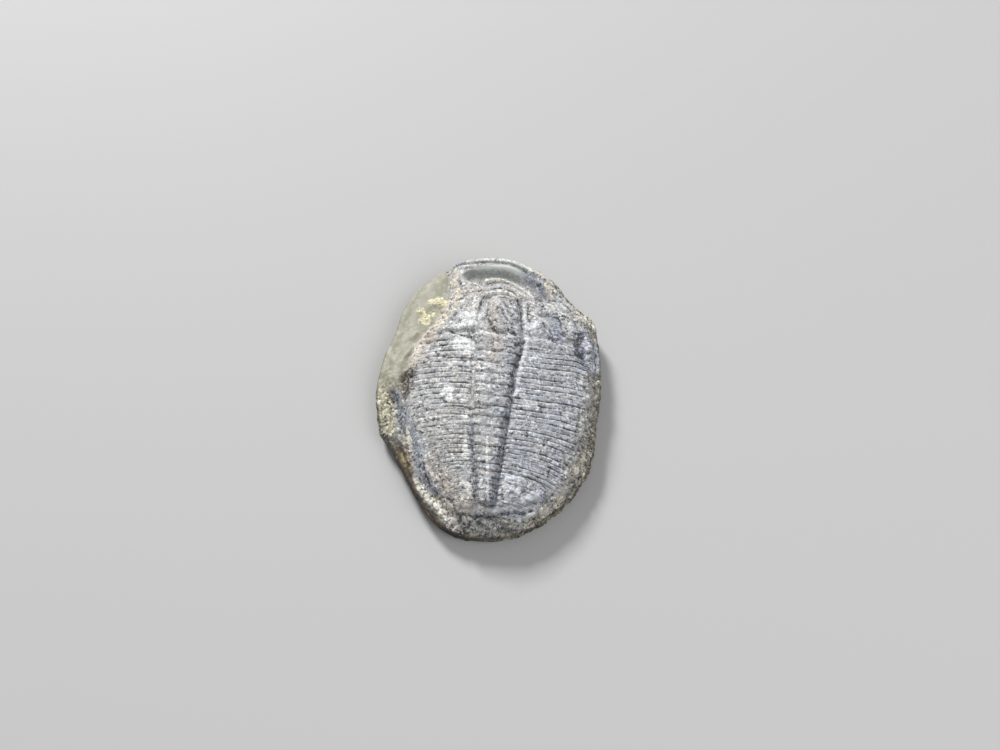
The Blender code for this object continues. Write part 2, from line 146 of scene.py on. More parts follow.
# The directions in which the row of a station meets the stone's edge: station, left, right.
ROW_ENDS = (
    (FRONT, 116.0, 60.0), (11.0, 125.5, 51.0), (9.7, 133.0, 43.5), (8.0, 141.0, 36.5), (5.5, 153.0, 27.0),
    (3.4, 163.5, 16.0), (0.0, 184.0, -3.6), (-4.0, 210.3, -28.0), (-7.8, 238.0, -52.0), (-10.4, 250.5, -66.0),
    (TAIL, 258.0, -77.0),
)
# Between these stations the rows are free of the stone's edge.
FREE_FRONT, FREE_TAIL = 9.6, -10.8
ROW_BEND = ((FRONT, 2.0), (8.0, 2.1), (3.4, 2.9), (-6.0, 2.6), (-9.0, 2.1), (TAIL, 2.0))
# How far the left rows swing forward half way out, and how far the rings bow back over the lobe.
LEFT_SWING = 0.24
LOBE_BOW = 0.16
CREST_HEIGHT = (
    (9.6, 3.80), (8.4, 4.02), (6.5, 4.22), (4.0, 4.34), (1.0, 4.34), (-3.0, 4.14), (-6.5, 3.80), (-9.0, 3.44),
    (-10.6, 3.10), (-11.1, 2.94),
)
HOLLOW_PROFILE = (
    (FRONT, 3.40), (12.55, 3.68), (12.42, 3.74), (12.30, 3.77), (12.18, 3.75), (12.09, 3.67), (12.02, 3.63),
    (11.92, 3.65), (11.66, 3.69), (11.45, 3.58), (11.2, 3.39), (10.75, 3.12), (10.30, 3.02), (9.90, 3.10),
)
HOLLOW_FLOOR = 10.30
HOLLOW_TIP_X, HOLLOW_TIP_Y = -3.25, 10.75
ROLL_HEIGHT, ROLL_FALL = 3.62, 0.16
FALL_TO_MARGIN = 1.40
LOBE_HEIGHT = 0.54
FURROW_DEPTH = 0.20
LEDGE_HEIGHT, LEDGE_RISE, TAIL_LEDGE_HEIGHT = 2.45, 0.045, 2.62
CHEEK_HOLLOW, CHEEK_HOLLOW_HALF, CHEEK_HOLLOW_DEPTH = (8.05, 3.7), (0.95, 1.90), 0.55
SIDE_HOLLOW, SIDE_HOLLOW_HALF, SIDE_HOLLOW_DEPTH = (-6.95, -0.05), (0.72, 1.25), 0.50
# The least width of matrix beside the animal, and how close the columns keep to its furrows and margins.
LEAST_MATRIX = 0.55
INSIDE_FURROW, OUTSIDE_FURROW, INSIDE_MARGIN, OUTSIDE_MARGIN = 0.26, 0.30, 0.30, 0.22
# How many rows each stretch of the midline takes, and how many columns each band across takes on one side.
ROW_RUNS = (
    (FRONT, HEAD_FRONT, 42), (HEAD_FRONT, BODY_FRONT, 78), (BODY_FRONT, BODY_REAR, 156),
    (BODY_REAR, SHIELD_END, 40), (SHIELD_END, TAIL, 20),
)
BAND_STEPS = (14, 5, 5, 60, 5, 4, 23)


def curve_through(points, at):
    """The smooth curve through (place, value) points. Past its ends it keeps the last value."""
    points = sorted(points)
    place = np.array([p[0] for p in points], float)
    value = np.array([p[1] for p in points], float)
    slope = np.gradient(value, place)
    at = np.clip(np.asarray(at, float), place[0], place[-1])
    k = np.clip(np.searchsorted(place, at, side="right") - 1, 0, len(place) - 2)
    gap = place[k + 1] - place[k]
    t = (at - place[k]) / gap
    return (
        value[k] * (1 + 2 * t) * (1 - t) ** 2
        + slope[k] * gap * t * (1 - t) ** 2
        + value[k + 1] * t * t * (3 - 2 * t)
        + slope[k + 1] * gap * t * t * (t - 1)
    )


def column(table, which):
    """The (place, value) points of one column of a table."""
    return [(row[0], row[which]) for row in table]


def round_the_compass(points, degrees):
    """curve_through for values that repeat after a full turn."""
    turns = [(a + turn, v) for turn in (-360, 0, 360) for a, v in points]
    return curve_through(turns, np.asarray(degrees, float) % 360)


def ease(start, end, x):
    """0 before start and 1 after end, rising smoothly between. It falls where end is below start."""
    t = np.clip((np.asarray(x, float) - start) / (end - start), 0, 1)
    return t * t * (3 - 2 * t)


def hump(x, centre, half_width):
    """A smooth bump of height 1 that reaches 0 at half_width to either side of its centre."""
    return ease(half_width, 0, np.abs(np.asarray(x, float) - centre))


def clouds(x, y, z, size, seed):
    """Smooth noise from -1 to 1 whose lumps are about `size` across."""
    offset = Vector((seed * 7.3, seed * 3.1, seed * 5.7))
    points = np.broadcast_arrays(x, y, z)
    values = [noise.noise(Vector(p) / size + offset) for p in zip(*(a.ravel() for a in points))]
    return np.array(values).reshape(points[0].shape)


def edge_point(degrees, inset=0.0):
    """x, y of the stone's edge in this direction, moved in by inset."""
    reach = round_the_compass(EDGE_REACH, degrees) - inset
    return reach * np.cos(np.radians(degrees)), reach * np.sin(np.radians(degrees))


def segment_joints():
    """The stations of the joints between the body segments, which get shorter towards the tail."""
    share = 1 - SEGMENT_TAPER * (np.arange(SEGMENTS) / (SEGMENTS - 1)) ** 2
    lengths = share * (BODY_FRONT - BODY_REAR) / share.sum()
    return BODY_FRONT - np.concatenate([[0], np.cumsum(lengths)])


def all_joints():
    """The same for the whole body: the free segments, then the rings grown together in the tail."""
    return np.concatenate([segment_joints(), np.linspace(BODY_REAR, TAIL_AXIS_END, TAIL_RIBS + 1)[1:]])


def row_ends(station):
    """The two points where each row meets the brow: left x, left y, right x, right y."""
    left = curve_through(column(ROW_ENDS, 1), station)
    right = curve_through(column(ROW_ENDS, 2), station)
    return *edge_point(left, BROW_INSET), *edge_point(right, BROW_INSET)


def row_shape(share, station, side):
    """1 at the midline, 0 at the row's end: a bent bar. The first and last rows follow the edge."""
    shape = 1 - share ** curve_through(ROW_BEND, station)
    for limit, inside in ((FRONT, FREE_FRONT), (TAIL, FREE_TAIL)):
        end = ROW_ENDS[0] if limit > 0 else ROW_ENDS[-1]
        first, last = end[1], end[2] + 360 * (limit < 0)
        ex, ey = edge_point(np.linspace(first, last, 160), BROW_INSET)
        order = np.argsort(ex)
        end_x, end_y = (ex[order][0], ey[order][0]) if side < 0 else (ex[order][-1], ey[order][-1])
        along = np.interp(MIDLINE + share * (end_x - MIDLINE), ex[order], ey[order])
        middle = np.interp(MIDLINE, ex[order], ey[order])
        follow = ease(inside, limit, station)
        shape = shape * (1 - follow) + (along - end_y) / (middle - end_y) * follow
    return shape


def row_sway(share, lobe_share, station, side):
    """How far a row departs from that shape: forward on the left side, and back over the middle lobe."""
    inside = ease(FREE_TAIL, -9.0, station) * ease(FREE_FRONT, 7.5, station)
    swing = LEFT_SWING * 4 * share * (1 - share) * (side < 0)
    return inside * (swing - LOBE_BOW * np.clip(1 - lobe_share**2, 0, 1))


def lobe_half(station, on_left):
    """Half the width of the middle lobe on one side."""
    return curve_through(AXIS_HALF, station) + on_left * curve_through(LEFT_WIDER, station)


def sheet_of_points(stations):
    """x and y of the whole sheet. Its columns keep to the lobe's furrows and the animal's margins."""
    left_x, left_y, right_x, right_y = row_ends(stations)
    station = stations[:, None]
    halves = []
    for side, half, end_x, end_y in ((-1, LEFT_HALF, left_x, left_y), (1, RIGHT_HALF, right_x, right_y)):
        axis = lobe_half(stations, side < 0)
        edge = np.abs(end_x - MIDLINE)
        margin = np.minimum(curve_through(half, stations), edge - LEAST_MATRIX)
        inner = np.minimum(axis + OUTSIDE_FURROW, 0.5 * (axis + margin))
        knots = (0 * axis, axis - INSIDE_FURROW, axis, inner,
                 margin - INSIDE_MARGIN, margin, margin + OUTSIDE_MARGIN, edge)
        bands = [a[:, None] + (b - a)[:, None] * np.arange(n) / n
                 for a, b, n in zip(knots, knots[1:], BAND_STEPS)]
        away = np.concatenate(bands + [edge[:, None]], axis=1)
        share = away / edge[:, None]
        y = end_y[:, None] + (station - end_y[:, None]) * row_shape(share, station, side)
        halves.append((MIDLINE + side * away, y + row_sway(share, away / axis[:, None], station, side)))
    return tuple(np.concatenate([halves[0][i][:, :0:-1], halves[1][i]], axis=1) for i in (0, 1))


def near_path(x, y, path, half_width, waver=0.0):
    """1 on a path of given points, 0 beyond half_width from it. Waver makes its border uneven."""
    best = np.full(x.shape, 1e9)
    for (ax, ay), (bx, by) in zip(path, path[1:] or path):
        length = max((bx - ax) ** 2 + (by - ay) ** 2, 1e-9)
        t = np.clip(((x - ax) * (bx - ax) + (y - ay) * (by - ay)) / length, 0, 1)
        best = np.minimum(best, np.hypot(x - ax - t * (bx - ax), y - ay - t * (by - ay)))
    return ease(half_width, 0, best + waver)


def back_form(away, margin, station):
    """The back of the animal without its middle lobe: almost level inside, and falling to the margins."""
    out = away / margin
    fall = FALL_TO_MARGIN * (0.20 * out**1.5 + 0.80 * np.clip(out, 0, 1.2) ** 3.2)
    fall = fall * (0.55 + 0.45 * ease(-11.5, -7.5, station)) * (1 - 0.62 * ease(5.5, 9.5, station))
    return curve_through(CREST_HEIGHT, station) - fall


def middle_lobe(away, axis, station):
    """The lobe along the midline, with the furrow at each side. It ends round in front and behind."""
    past_front = np.clip(station - (LOBE_FRONT - LOBE_FRONT_CURVE), 0, None) / LOBE_FRONT_CURVE
    past_tail = np.clip(TAIL_AXIS_END + TAIL_CURVE - station, 0, None) / TAIL_CURVE
    out = np.hypot(away / axis, past_front + past_tail)
    lobe = np.clip(1 - out**2, 0, 1) ** 0.6
    height = LOBE_HEIGHT * (0.62 + 0.38 * ease(-10.5, 0.0, station) + 0.30 * ease(4.0, 6.0, station))
    return height * lobe - FURROW_DEPTH * hump(out, 1.0, 0.40 / axis)


def head_relief(x, y, away, axis, station):
    """Furrows, neck ring, eye ridges and cheeks of the head."""
    in_head = ease(BODY_FRONT - 0.05, BODY_FRONT + 0.15, station) * ease(9.9, 9.5, station)
    neck = NECK_RING_HEIGHT * hump(station, NECK_RING, 0.5)
    neck = neck - NECK_FURROW_DEPTH * hump(station, NECK_FURROW, 0.42)
    slant = station + 0.45 * (axis - away)
    side_furrows = sum(hump(slant, place, 0.34) for place in SIDE_FURROWS)
    side_furrows = side_furrows * ease(0.40 * axis, 0.80 * axis, away) * (away < axis)
    eyes = sum(
        hump(np.hypot((x - ex) / EYE_HALF_WIDTH, (y - ey) / EYE_HALF_LENGTH), 0, 1.0) for ex, ey in EYES)
    cheek_dip = 0.10 * hump(away, axis + 1.0, 0.9) * hump(y, 5.6, 1.8)
    return in_head * (neck - SIDE_FURROW_DEPTH * side_furrows + EYE_HEIGHT * eyes - cheek_dip)


def hollow_station(x, station):
    """The place on HOLLOW_PROFILE. The hollow reaches further back at the right, its floor at the left."""
    length = FRONT - HEAD_FRONT
    place = FRONT - (FRONT - station) * length / (length + 0.62 * np.clip(x - 1.3, 0, 2.6))
    floor = np.minimum(place - HOLLOW_FLOOR, 0)
    return place - floor + floor * 0.52 / (0.52 + 0.65 * ease(-0.3, -1.3, x))


def front_hollow(x, away, margin, station, height):
    """Puts the raised rim and the smooth hollow in front of the head in place of the back's own form."""
    place = hollow_station(x, station)
    profile = curve_through(HOLLOW_PROFILE, place)
    crest = ROLL_HEIGHT - ROLL_FALL * np.clip(-x - 2.2, 0, None)
    tip = HOLLOW_TIP_X + 2.0 * (station - HOLLOW_TIP_Y) ** 2
    behind_roll = ease(11.75, 11.45, station)
    at_roll = ease(margin - 0.15, margin - 1.0, away)
    open_left = at_roll * (1 - behind_roll) + ease(tip, tip + 0.8, x) * behind_roll
    profile = np.where(x < MIDLINE, crest + (profile - crest) * open_left, profile)
    profile = profile - 0.10 * np.clip(x - 1.5, 0, None) ** 1.25
    in_front = ease(-0.02, 0.10, place - HEAD_FRONT) * ease(6.6, 4.6, x)
    return height + (profile - height) * in_front


def matrix_beyond(x, y, away, margin, edge, station, height):
    """Beyond the margins the matrix slopes to the brow as a crust, or as a smooth ledge at the front left."""
    brow = round_the_compass(BROW_HEIGHT, np.degrees(np.arctan2(y, x)))
    share = np.clip((away - margin) / np.maximum(edge - margin, 0.1), 0, 1)
    lump = 0.15 * clouds(x, y, 0.0, 1.5, 3) * hump(share, 0.5, 0.5)
    crust = height + (brow - height) * (0.25 * share + 0.75 * share**1.6) + lump
    ledge_top = LEDGE_HEIGHT + LEDGE_RISE * (y - 1.0)
    ledge = ledge_top + (brow - ledge_top) * share**3.2
    on_ledge = (x < 0) * ease(-1.6, 0.6, y) * ease(0.0, 0.14, share)
    raised_edge = np.where(x < 0, 0.12, 0.03) * hump(away, margin, 0.38) * ease(9.7, 7.8, station)
    return np.where(away > margin, crust * (1 - on_ledge) + ledge * on_ledge, height) + raised_edge


def tail_ledge(x, y, station, height):
    """Behind the tail shield a rough ledge of matrix stands lower, and slopes to the brow."""
    brow = round_the_compass(BROW_HEIGHT, np.degrees(np.arctan2(y, x)))
    share = np.clip((SHIELD_END - station) / (SHIELD_END - TAIL), 0, 1)
    ledge = TAIL_LEDGE_HEIGHT + (brow - TAIL_LEDGE_HEIGHT) * (0.35 * share + 0.65 * share**2)
    ledge = ledge + 0.12 * clouds(x, y, 0.0, 0.9, 5) * hump(share, 0.5, 0.5)
    behind = ease(SHIELD_END + 0.02, SHIELD_END - 0.16, station)
    return height + (np.minimum(ledge, height) - height) * behind


def hollows_in_the_top(x, y):
    """How deep the top is cut where shell and matrix have broken out."""
    (cheek_x, cheek_y), (half_width, half_length) = CHEEK_HOLLOW, CHEEK_HOLLOW_HALF
    out = np.hypot((x - cheek_x - 0.20 * (4 - y)) / half_width, (y - cheek_y) / half_length)
    right_cheek = CHEEK_HOLLOW_DEPTH * hump(out, 0, 1.0)
    (side_x, side_y), (half_width, half_length) = SIDE_HOLLOW, SIDE_HOLLOW_HALF
    out = np.hypot((x - side_x) / half_width, (y - side_y) / half_length)
    left_side = SIDE_HOLLOW_DEPTH * hump(out, 0, 1.0)
    left_band = 0.26 * hump(x + 7.35 + 0.34 * (y + 3.0), 0, 0.75) * ease(-8.8, -7.4, y) * ease(-0.6, -1.6, y)
    return right_cheek + left_side + left_band


# Paths of points that more than one form or mark of the stone follows.
FRONT_STEP = ((-0.79, 10.46), (-0.08, 10.59), (0.65, 10.6), (1.3, 10.37), (1.95, 10.08), (2.52, 9.75),
    (3.46, 9.06))
LOBE_TIP = ((-0.63, 8.54), (-0.11, 8.72), (0.5, 8.84), (1.04, 8.8), (1.49, 8.63), (1.95, 8.28))
LOBE_LEFT_RIM = ((-1.65, 8.02), (-1.51, 7.36), (-1.72, 6.83))
LOBE_RIGHT_FURROW = ((2.06, 8.06), (2.26, 7.65), (2.42, 7.05), (2.55, 6.4), (2.44, 5.93))
LOBE_SCAR = ((0.9, 6.79), (1.21, 6.09), (1.55, 5.44))
SCAR_SHADE = ((0.75, 6.56), (1.05, 5.86), (1.39, 5.31))
LOBE_CRACK = ((-0.34, 7.19), (-0.42, 6.54), (-0.41, 5.89))
CHEEK_RIDGE = ((2.74, 7.52), (2.83, 6.68), (2.84, 5.84), (3.01, 5.03), (3.05, 4.42))
CHEEK_EDGE = ((4.58, 8.0), (5.2, 7.74), (5.89, 7.06), (6.61, 6.9), (7.24, 6.6))
NECK_NOTCH = ((2.25, 3.18), (2.58, 3.52), (2.99, 3.78))
NECK_SPLIT = ((1.76, 4.33), (2.2, 4.15), (2.65, 3.67))
RIGHT_SPUR = ((7.58, 7.34), (7.86, 6.89), (8.35, 6.82), (9.02, 6.62))
LEFT_CHIP = ((-3.61, -1.36), (-3.22, -1.06), (-2.91, -1.62), (-2.97, -1.93))
LEFT_CHIP_TOP = ((-3.3, -0.9), (-2.9, -1.1))
TAIL_SCALE = ((-6.06, -5.03), (-6.0, -5.8), (-5.85, -6.57))
# Fine forms that stand on the broad ones: half width, height, paths. Negative heights are grooves and holes.
FINE_FORMS = (
    (0.26, 0.15, FRONT_STEP),
    (0.22, 0.11, ((-1.1, 8.82), *LOBE_TIP)),
    (0.13, 0.08, ((-0.3, 9.93), (0.42, 9.8), (1.09, 9.4), (1.64, 9.12))),
    (0.26, 0.14, ((-2.84, 9.2), (-2.22, 9.35), (-1.56, 9.07), (-1.01, 8.89))),
    (0.16, -0.12, ((-0.49, 8.1), (0.3, 8.15), (1.0, 8.05), (1.8, 7.9))),
    (0.28, 0.1, LOBE_LEFT_RIM),
    (0.2, -0.06, ((-1.03, 8.02), (-1.08, 7.52), (-1.16, 6.89), (-1.2, 6.26), (-1.27, 5.63))),
    (0.18, -0.1, (*LOBE_RIGHT_FURROW, (2.28, 5.67), (2.71, 5.09))),
    (0.11, 0.09, LOBE_SCAR),
    (0.11, -0.06, ((0.94, 7.3), (1.25, 6.64), (1.47, 6.15))),
    (0.11, -0.06, SCAR_SHADE),
    (0.15, -0.08, (*LOBE_CRACK, (-0.2, 5.33), (0.1, 4.83))),
    (0.26, 0.11, CHEEK_RIDGE),
    (0.22, 0.12, CHEEK_EDGE),
    (0.5, -0.1, ((4.9, 6.6), (5.39, 6.27), (5.59, 5.48), (5.9, 4.8))),
    (0.55, 0.07, ((-2.9, 6.3), (-2.2, 6.3), (-1.5, 6.15))),
    (0.45, 0.07, ((-3.4, 5.1), (-2.5, 5.0))),
    (0.5, 0.07, ((-3.3, 3.3), (-2.6, 3.15), (-2.2, 3.2))),
    (0.26, 0.1, ((-5.3, 5.05), (-4.4, 4.98), (-3.3, 4.9), (-2.4, 4.5))),
    (0.24, -0.16, NECK_NOTCH),
    (0.18, -0.1, NECK_SPLIT),
    (0.45, 0.18, ((-3.64, 10.91), (-3.66, 10.26), (-3.5, 9.53))),
    (0.36, 0.14, ((-3.35, 8.94), (-3.11, 8.25), (-3.22, 7.53), (-3.42, 6.82), (-3.6, 6.06))),
    (0.22, -0.3, ((-3.09, 9.8),)),
    (0.2, -0.16, ((-3.36, 6.24), (-3.12, 6.53))),
    (0.25, -0.24, ((-4.45, 7.02),)),
    (0.32, 0.1, ((-5.57, 6.46), (-5.2, 5.0), (-5.84, 4.26), (-6.72, 3.43), (-7.34, 2.57), (-7.61, 1.89),
        (-7.69, 1.1))),
    (0.4, 0.12, RIGHT_SPUR),
    (0.28, -0.22, ((-7.44, 0.25), (-7.01, 0.91))),
    (0.24, -0.18, ((-6.45, -0.28), (-6.43, 0.75))),
    (0.14, 0.16, ((-6.9, -0.9), (-6.8, -0.3), (-7.0, 0.3))),
    (0.1, 0.12, ((-6.6, 0.7), (-6.9, 0.1))),
    (0.65, 0.07, ((-6.37, 7.24), (-5.78, 7.81), (-4.64, 8.06))),
    (0.4, 0.08, ((-7.03, 4.38), (-6.63, 4.79))),
    (0.35, 0.05, ((-9.05, 3.49), (-8.54, 2.7), (-8.12, 1.8))),
    (0.35, 0.05, ((1.87, -8.3), (2.89, -8.36), (4.63, -8.85))),
    (0.16, -0.06, ((2.3, -8.75), (3.6, -9.1), (4.6, -9.6))),
    (0.14, -0.05, ((2.2, -9.35), (3.2, -9.65), (4.0, -10.0))),
    (0.22, -0.07, ((0.12, -10.44), (1.86, -10.51), (3.43, -10.4), (4.6, -9.98), (5.61, -9.38))),
    (0.15, -0.1, ((-0.1, -9.7), (0.05, -10.05), (0.7, -10.14), (1.3, -10.05), (1.5, -9.7))),
    (0.35, 0.1, TAIL_SCALE),
    (0.35, 0.12, ((-5.74, -7.23), (-5.49, -7.84))),
    (0.35, 0.14, ((-5.14, -8.35), (-4.88, -8.83))),
    (0.5, 0.2, ((-4.7, -9.1), (-4.14, -9.64))),
    (0.5, 0.2, ((-3.9, -10.1), (-3.4, -10.3))),
    (0.5, 0.18, ((-2.75, -10.3), (-2.21, -10.8))),
    (0.4, 0.16, ((-1.9, -11.4),)),
    (0.85, 0.16, ((-8.93, -1.0), (-8.51, -1.83), (-8.47, -2.74), (-8.11, -3.55))),
    (0.17, -0.13, ((5.03, -5.36),)),
    (0.17, -0.12, ((4.4, -6.65),)),
    (0.15, -0.1, ((4.21, -7.36),)),
    (0.15, -0.1, ((3.38, -6.89),)),
)
# Cracks and sharp creases, all of one depth, which the material darkens with painted shade. The deep ones are
# wider too.
CREASES = (
    ((-2.1, 5.23), (-1.97, 4.67), (-1.69, 3.99), (-1.44, 3.59)),
    ((1.19, 12.03), (1.93, 11.73), (2.68, 11.31)), LOBE_RIGHT_FURROW,
    ((-0.67, 10.2), (0.04, 10.28), (0.68, 10.16), (1.27, 9.8), (1.82, 9.4)),
    ((-2.69, 8.58), (-2.15, 8.63), (-1.1, 8.82)),
    ((-0.57, 8.95), (0.12, 9.18), (0.74, 9.27), (1.29, 9.05), (1.75, 8.79), (2.13, 8.37)),
    ((-0.49, 7.93), (-0.14, 7.93)), ((0.3, 7.98), (0.83, 7.87), (1.0, 7.9)), ((1.35, 8.08), (1.8, 7.86)),
    ((-0.85, 8.2), (-1.06, 7.7), (-1.1, 7.3)), ((0.94, 7.3), (1.25, 6.74), (1.47, 6.15)), LOBE_CRACK,
    SCAR_SHADE, ((2.28, 5.67), (2.51, 5.4), (2.71, 5.09)),
    ((3.0, 7.66), (3.12, 7.03), (3.02, 6.39), (3.27, 5.8)), ((4.42, 8.3), (4.3, 7.16), (4.29, 6.27)),
    ((4.44, 5.82), (4.54, 5.42), (4.73, 5.19)),
    ((4.93, 6.62), (5.37, 6.64), (5.82, 6.46), (6.06, 5.78), (6.22, 4.99)),
    ((5.2, 7.9), (5.71, 7.18), (6.42, 7.2)), ((6.22, 4.88), (6.67, 4.59), (7.3, 4.58)),
    ((0.57, 4.21), (0.71, 4.03)), ((0.91, 4.19), (1.21, 4.22)), ((1.43, 2.86), (1.85, 2.88), (2.11, 2.73)),
    ((-5.89, 3.41), (-4.57, 3.61), (-3.78, 3.64)), ((-5.08, 2.78), (-4.22, 2.93), (-3.56, 3.2)),
    ((-6.0, 4.2), (-5.2, 4.4), (-4.3, 4.5)), ((5.39, 4.07), (6.17, 4.02), (7.05, 3.76)),
    ((3.5, 3.05), (4.4, 3.1), (5.0, 2.75)), ((4.9, 9.0), (5.8, 8.7), (6.6, 7.9), (7.1, 7.0)),
    ((6.0, 7.7), (6.9, 6.9), (7.5, 5.9)), ((-2.4, 1.0), (-1.6, 0.9)),
    ((-3.3, -2.6), (-2.4, -2.5), (-1.2, -2.7), (0.2, -2.9)),
    ((-8.91, -0.68), (-8.46, -0.77), (-8.16, -1.16), (-7.9, -1.6)),
    ((-7.22, -3.15), (-6.65, -4.23), (-6.33, -4.72)), ((-8.1, 0.3), (-7.5, -0.5)),
    ((-4.67, -6.97), (-4.55, -7.5), (-4.39, -7.95), (-4.09, -8.42), (-3.94, -8.85)),
    ((-1.53, -11.01), (-1.18, -11.32)), ((-5.9, -5.3), (-5.8, -5.5)), ((-5.72, -6.39), (-5.6, -6.6)),
    ((-4.84, -7.14), (-5.01, -7.32)), ((7.27, -7.85), (7.69, -7.56)), ((6.7, -8.34), (6.87, -8.35)),
    ((2.47, -7.87), (3.28, -8.02), (4.08, -8.09), (4.65, -8.24), (5.33, -8.67)),
    ((-7.64, -0.89), (-7.5, -1.9), (-7.4, -2.9)),
)
DEEP_CREASES = (
    ((-0.41, 5.89), (-0.2, 5.33), (0.1, 4.83), (0.39, 4.4)),
    ((-3.53, 4.57), (-2.87, 4.18), (-2.32, 3.88), (-1.71, 3.7)), NECK_NOTCH, NECK_SPLIT,
    ((-3.85, 1.91), (-2.82, 1.88), (-1.88, 1.8)), ((-1.11, -11.17), (-0.46, -11.27), (-0.04, -11.5)),
    ((0.0, -11.3), (0.33, -11.24), (1.12, -11.26), (1.89, -11.12), (2.67, -10.95), (3.61, -10.85),
        (4.4, -10.5)),
    ((-3.9, -9.48), (-3.54, -9.81), (-3.19, -9.92), (-2.67, -9.81), (-2.24, -10.06), (-1.89, -10.41),
        (-1.7, -10.77)),
)
CREASE_HALF, DEEP_CREASE_HALF, CREASE_DEPTH = 0.11, 0.11 * 1.6, 0.08


def fine_forms(x, y):
    """The sum of the fine forms and creases, with slightly uneven borders."""
    waver = 0.07 * clouds(x, y, 0.0, 0.35, 9) + 0.04 * clouds(x, y, 0.0, 0.16, 10)
    forms = sum(height * near_path(x, y, path, half, waver) for half, height, path in FINE_FORMS)
    lines = [near_path(x, y, path, CREASE_HALF, waver) for path in CREASES]
    lines += [near_path(x, y, path, DEEP_CREASE_HALF, waver) for path in DEEP_CREASES]
    return forms - CREASE_DEPTH * np.max(lines, axis=0)


stations = np.concatenate([np.linspace(a, b, n, endpoint=False) for a, b, n in ROW_RUNS] + [[TAIL]])
top_x, top_y = sheet_of_points(stations)
station = stations[:, None] + 0 * top_x
on_left = top_x < MIDLINE
row_left, _, row_right, _ = (v[:, None] for v in row_ends(stations))
away = np.abs(top_x - MIDLINE)
edge = np.where(on_left, MIDLINE - row_left, row_right - MIDLINE)
axis = lobe_half(station, on_left)
margin = np.where(on_left, curve_through(LEFT_HALF, station), curve_through(RIGHT_HALF, station))
margin = np.minimum(margin, edge - LEAST_MATRIX)

top_z = back_form(away, margin, station) + middle_lobe(away, axis, station) * (away < margin)
top_z = top_z + head_relief(top_x, top_y, away, axis, station)
top_z = front_hollow(top_x, away, margin, station, top_z)
top_z = matrix_beyond(top_x, top_y, away, margin, edge, station, top_z)
top_z = tail_ledge(top_x, top_y, station, top_z) - hollows_in_the_top(top_x, top_y)
compass = np.degrees(np.arctan2(top_y, top_x))
from_end = np.minimum(FRONT - station, station - TAIL)
at_edge = np.maximum(ease(0.90, 1.0, away / edge), ease(0.12, 0.0, from_end))
top_z = top_z + fine_forms(top_x, top_y) * (1 - at_edge)
top_z = top_z + (round_the_compass(BROW_HEIGHT, compass) - top_z) * at_edge

# The open border of the sheet, followed all the way round, grows down as the side wall and in as the base.
rows, columns = top_x.shape
index = np.arange(rows * columns).reshape(rows, columns)
border = np.concatenate([index[0, :-1], index[:-1, -1], index[-1, :0:-1], index[:0:-1, 0]])
around = len(border)
border_x, border_y = top_x.ravel()[border], top_y.ravel()[border]
direction = np.degrees(np.arctan2(border_y, border_x))
brow = round_the_compass(BROW_HEIGHT, direction)
wall_rings = []
for step in range(1, WALL_STEPS + 1):
    share = step / WALL_STEPS
    inset = curve_through(column(WALL, 1), share)
    height = brow * curve_through(column(WALL, 2), share)
    inset = inset + 0.35 * share**3 * np.sin(np.radians(5 * direction))
    ex, ey = edge_point(direction, inset)
    layers = 0.16 * clouds(ex, ey, height * 2.2, 1.1, 7) + 0.09 * clouds(ex, ey, height * 6, 0.5, 8)
    ex, ey = edge_point(direction, inset + layers * hump(share, 0.55, 0.5))
    wall_rings.append((ex, ey, height * (1 - (share == 1))))
ring_x, ring_y, _ = wall_rings[-1]
wall_rings += [(ring_x * s, ring_y * s, 0 * ring_x) for s in BASE_RINGS]
x = np.concatenate([top_x.ravel()] + [r[0] for r in wall_rings] + [[0.0]])
y = np.concatenate([top_y.ravel()] + [r[1] for r in wall_rings] + [[0.0]])
z = np.concatenate([top_z.ravel()] + [r[2] for r in wall_rings] + [[0.0]])
corners = [index[:-1, :-1], index[1:, :-1], index[1:, 1:], index[:-1, 1:]]
quads = np.stack(corners, axis=-1).reshape(-1, 4).tolist()
loops = [border] + [rows * columns + k * around + np.arange(around) for k in range(len(wall_rings))]
for upper, lower in zip(loops, loops[1:]):
    ahead, ahead_lower = np.roll(upper, -1), np.roll(lower, -1)
    quads += np.stack([upper, ahead, ahead_lower, lower], axis=-1).tolist()
pole = len(x) - 1
quads += [(a, b, pole) for a, b in zip(loops[-1].tolist(), np.roll(loops[-1], -1).tolist())]
stone_mesh = bpy.data.meshes.new("fossil_stone")
stone_mesh.from_pydata(np.stack([x, y, z], axis=1).tolist(), [], quads)


def whole(values, beyond=0.0):
    """Carries values of the top on over the wall and the base, where they are `beyond`."""
    return np.concatenate([np.asarray(values, float).ravel(), np.full(len(x) - rows * columns, beyond)])


# Masks of where each finish lies, most of them from 0 to 1. Their paths are places on this stone. share_out
# runs from the animal to the edge, down from the brow to the base, and bearing is the direction in degrees.
share_out = whole(np.clip((away - margin) / np.maximum(edge - margin, 0.1), 0, 1), 1.0)
down = whole(0 * top_x)
down[rows * columns:-1] = np.repeat(np.append(np.arange(1, WALL_STEPS + 1) / WALL_STEPS, [2, 2]), around)
down[-1] = 2
above_base = down < 1.5
bearing = np.degrees(np.arctan2(y, x)) % 360
waver = 0.22 * clouds(x, y, z, 0.7, 11) + 0.14 * clouds(x, y, z, 0.28, 12)
behind_head = ease(HEAD_FRONT, HEAD_FRONT - 0.1, station)
animal = whole((away < margin) * ease(SHIELD_END - 0.15, SHIELD_END, station) * behind_head)
HOLLOW_REAR = (
    (-3.1, 10.6), (-2.33, 10.36), (-1.87, 10.2), (-1.3, 10.2), (-0.8, 10.35), (-0.1, 10.6), (0.65, 10.62),
    (1.30, 10.4), (1.95, 10.1), (2.52, 9.8), (3.46, 9.1),
)
rear_line = np.interp(top_x, *zip(*HOLLOW_REAR))
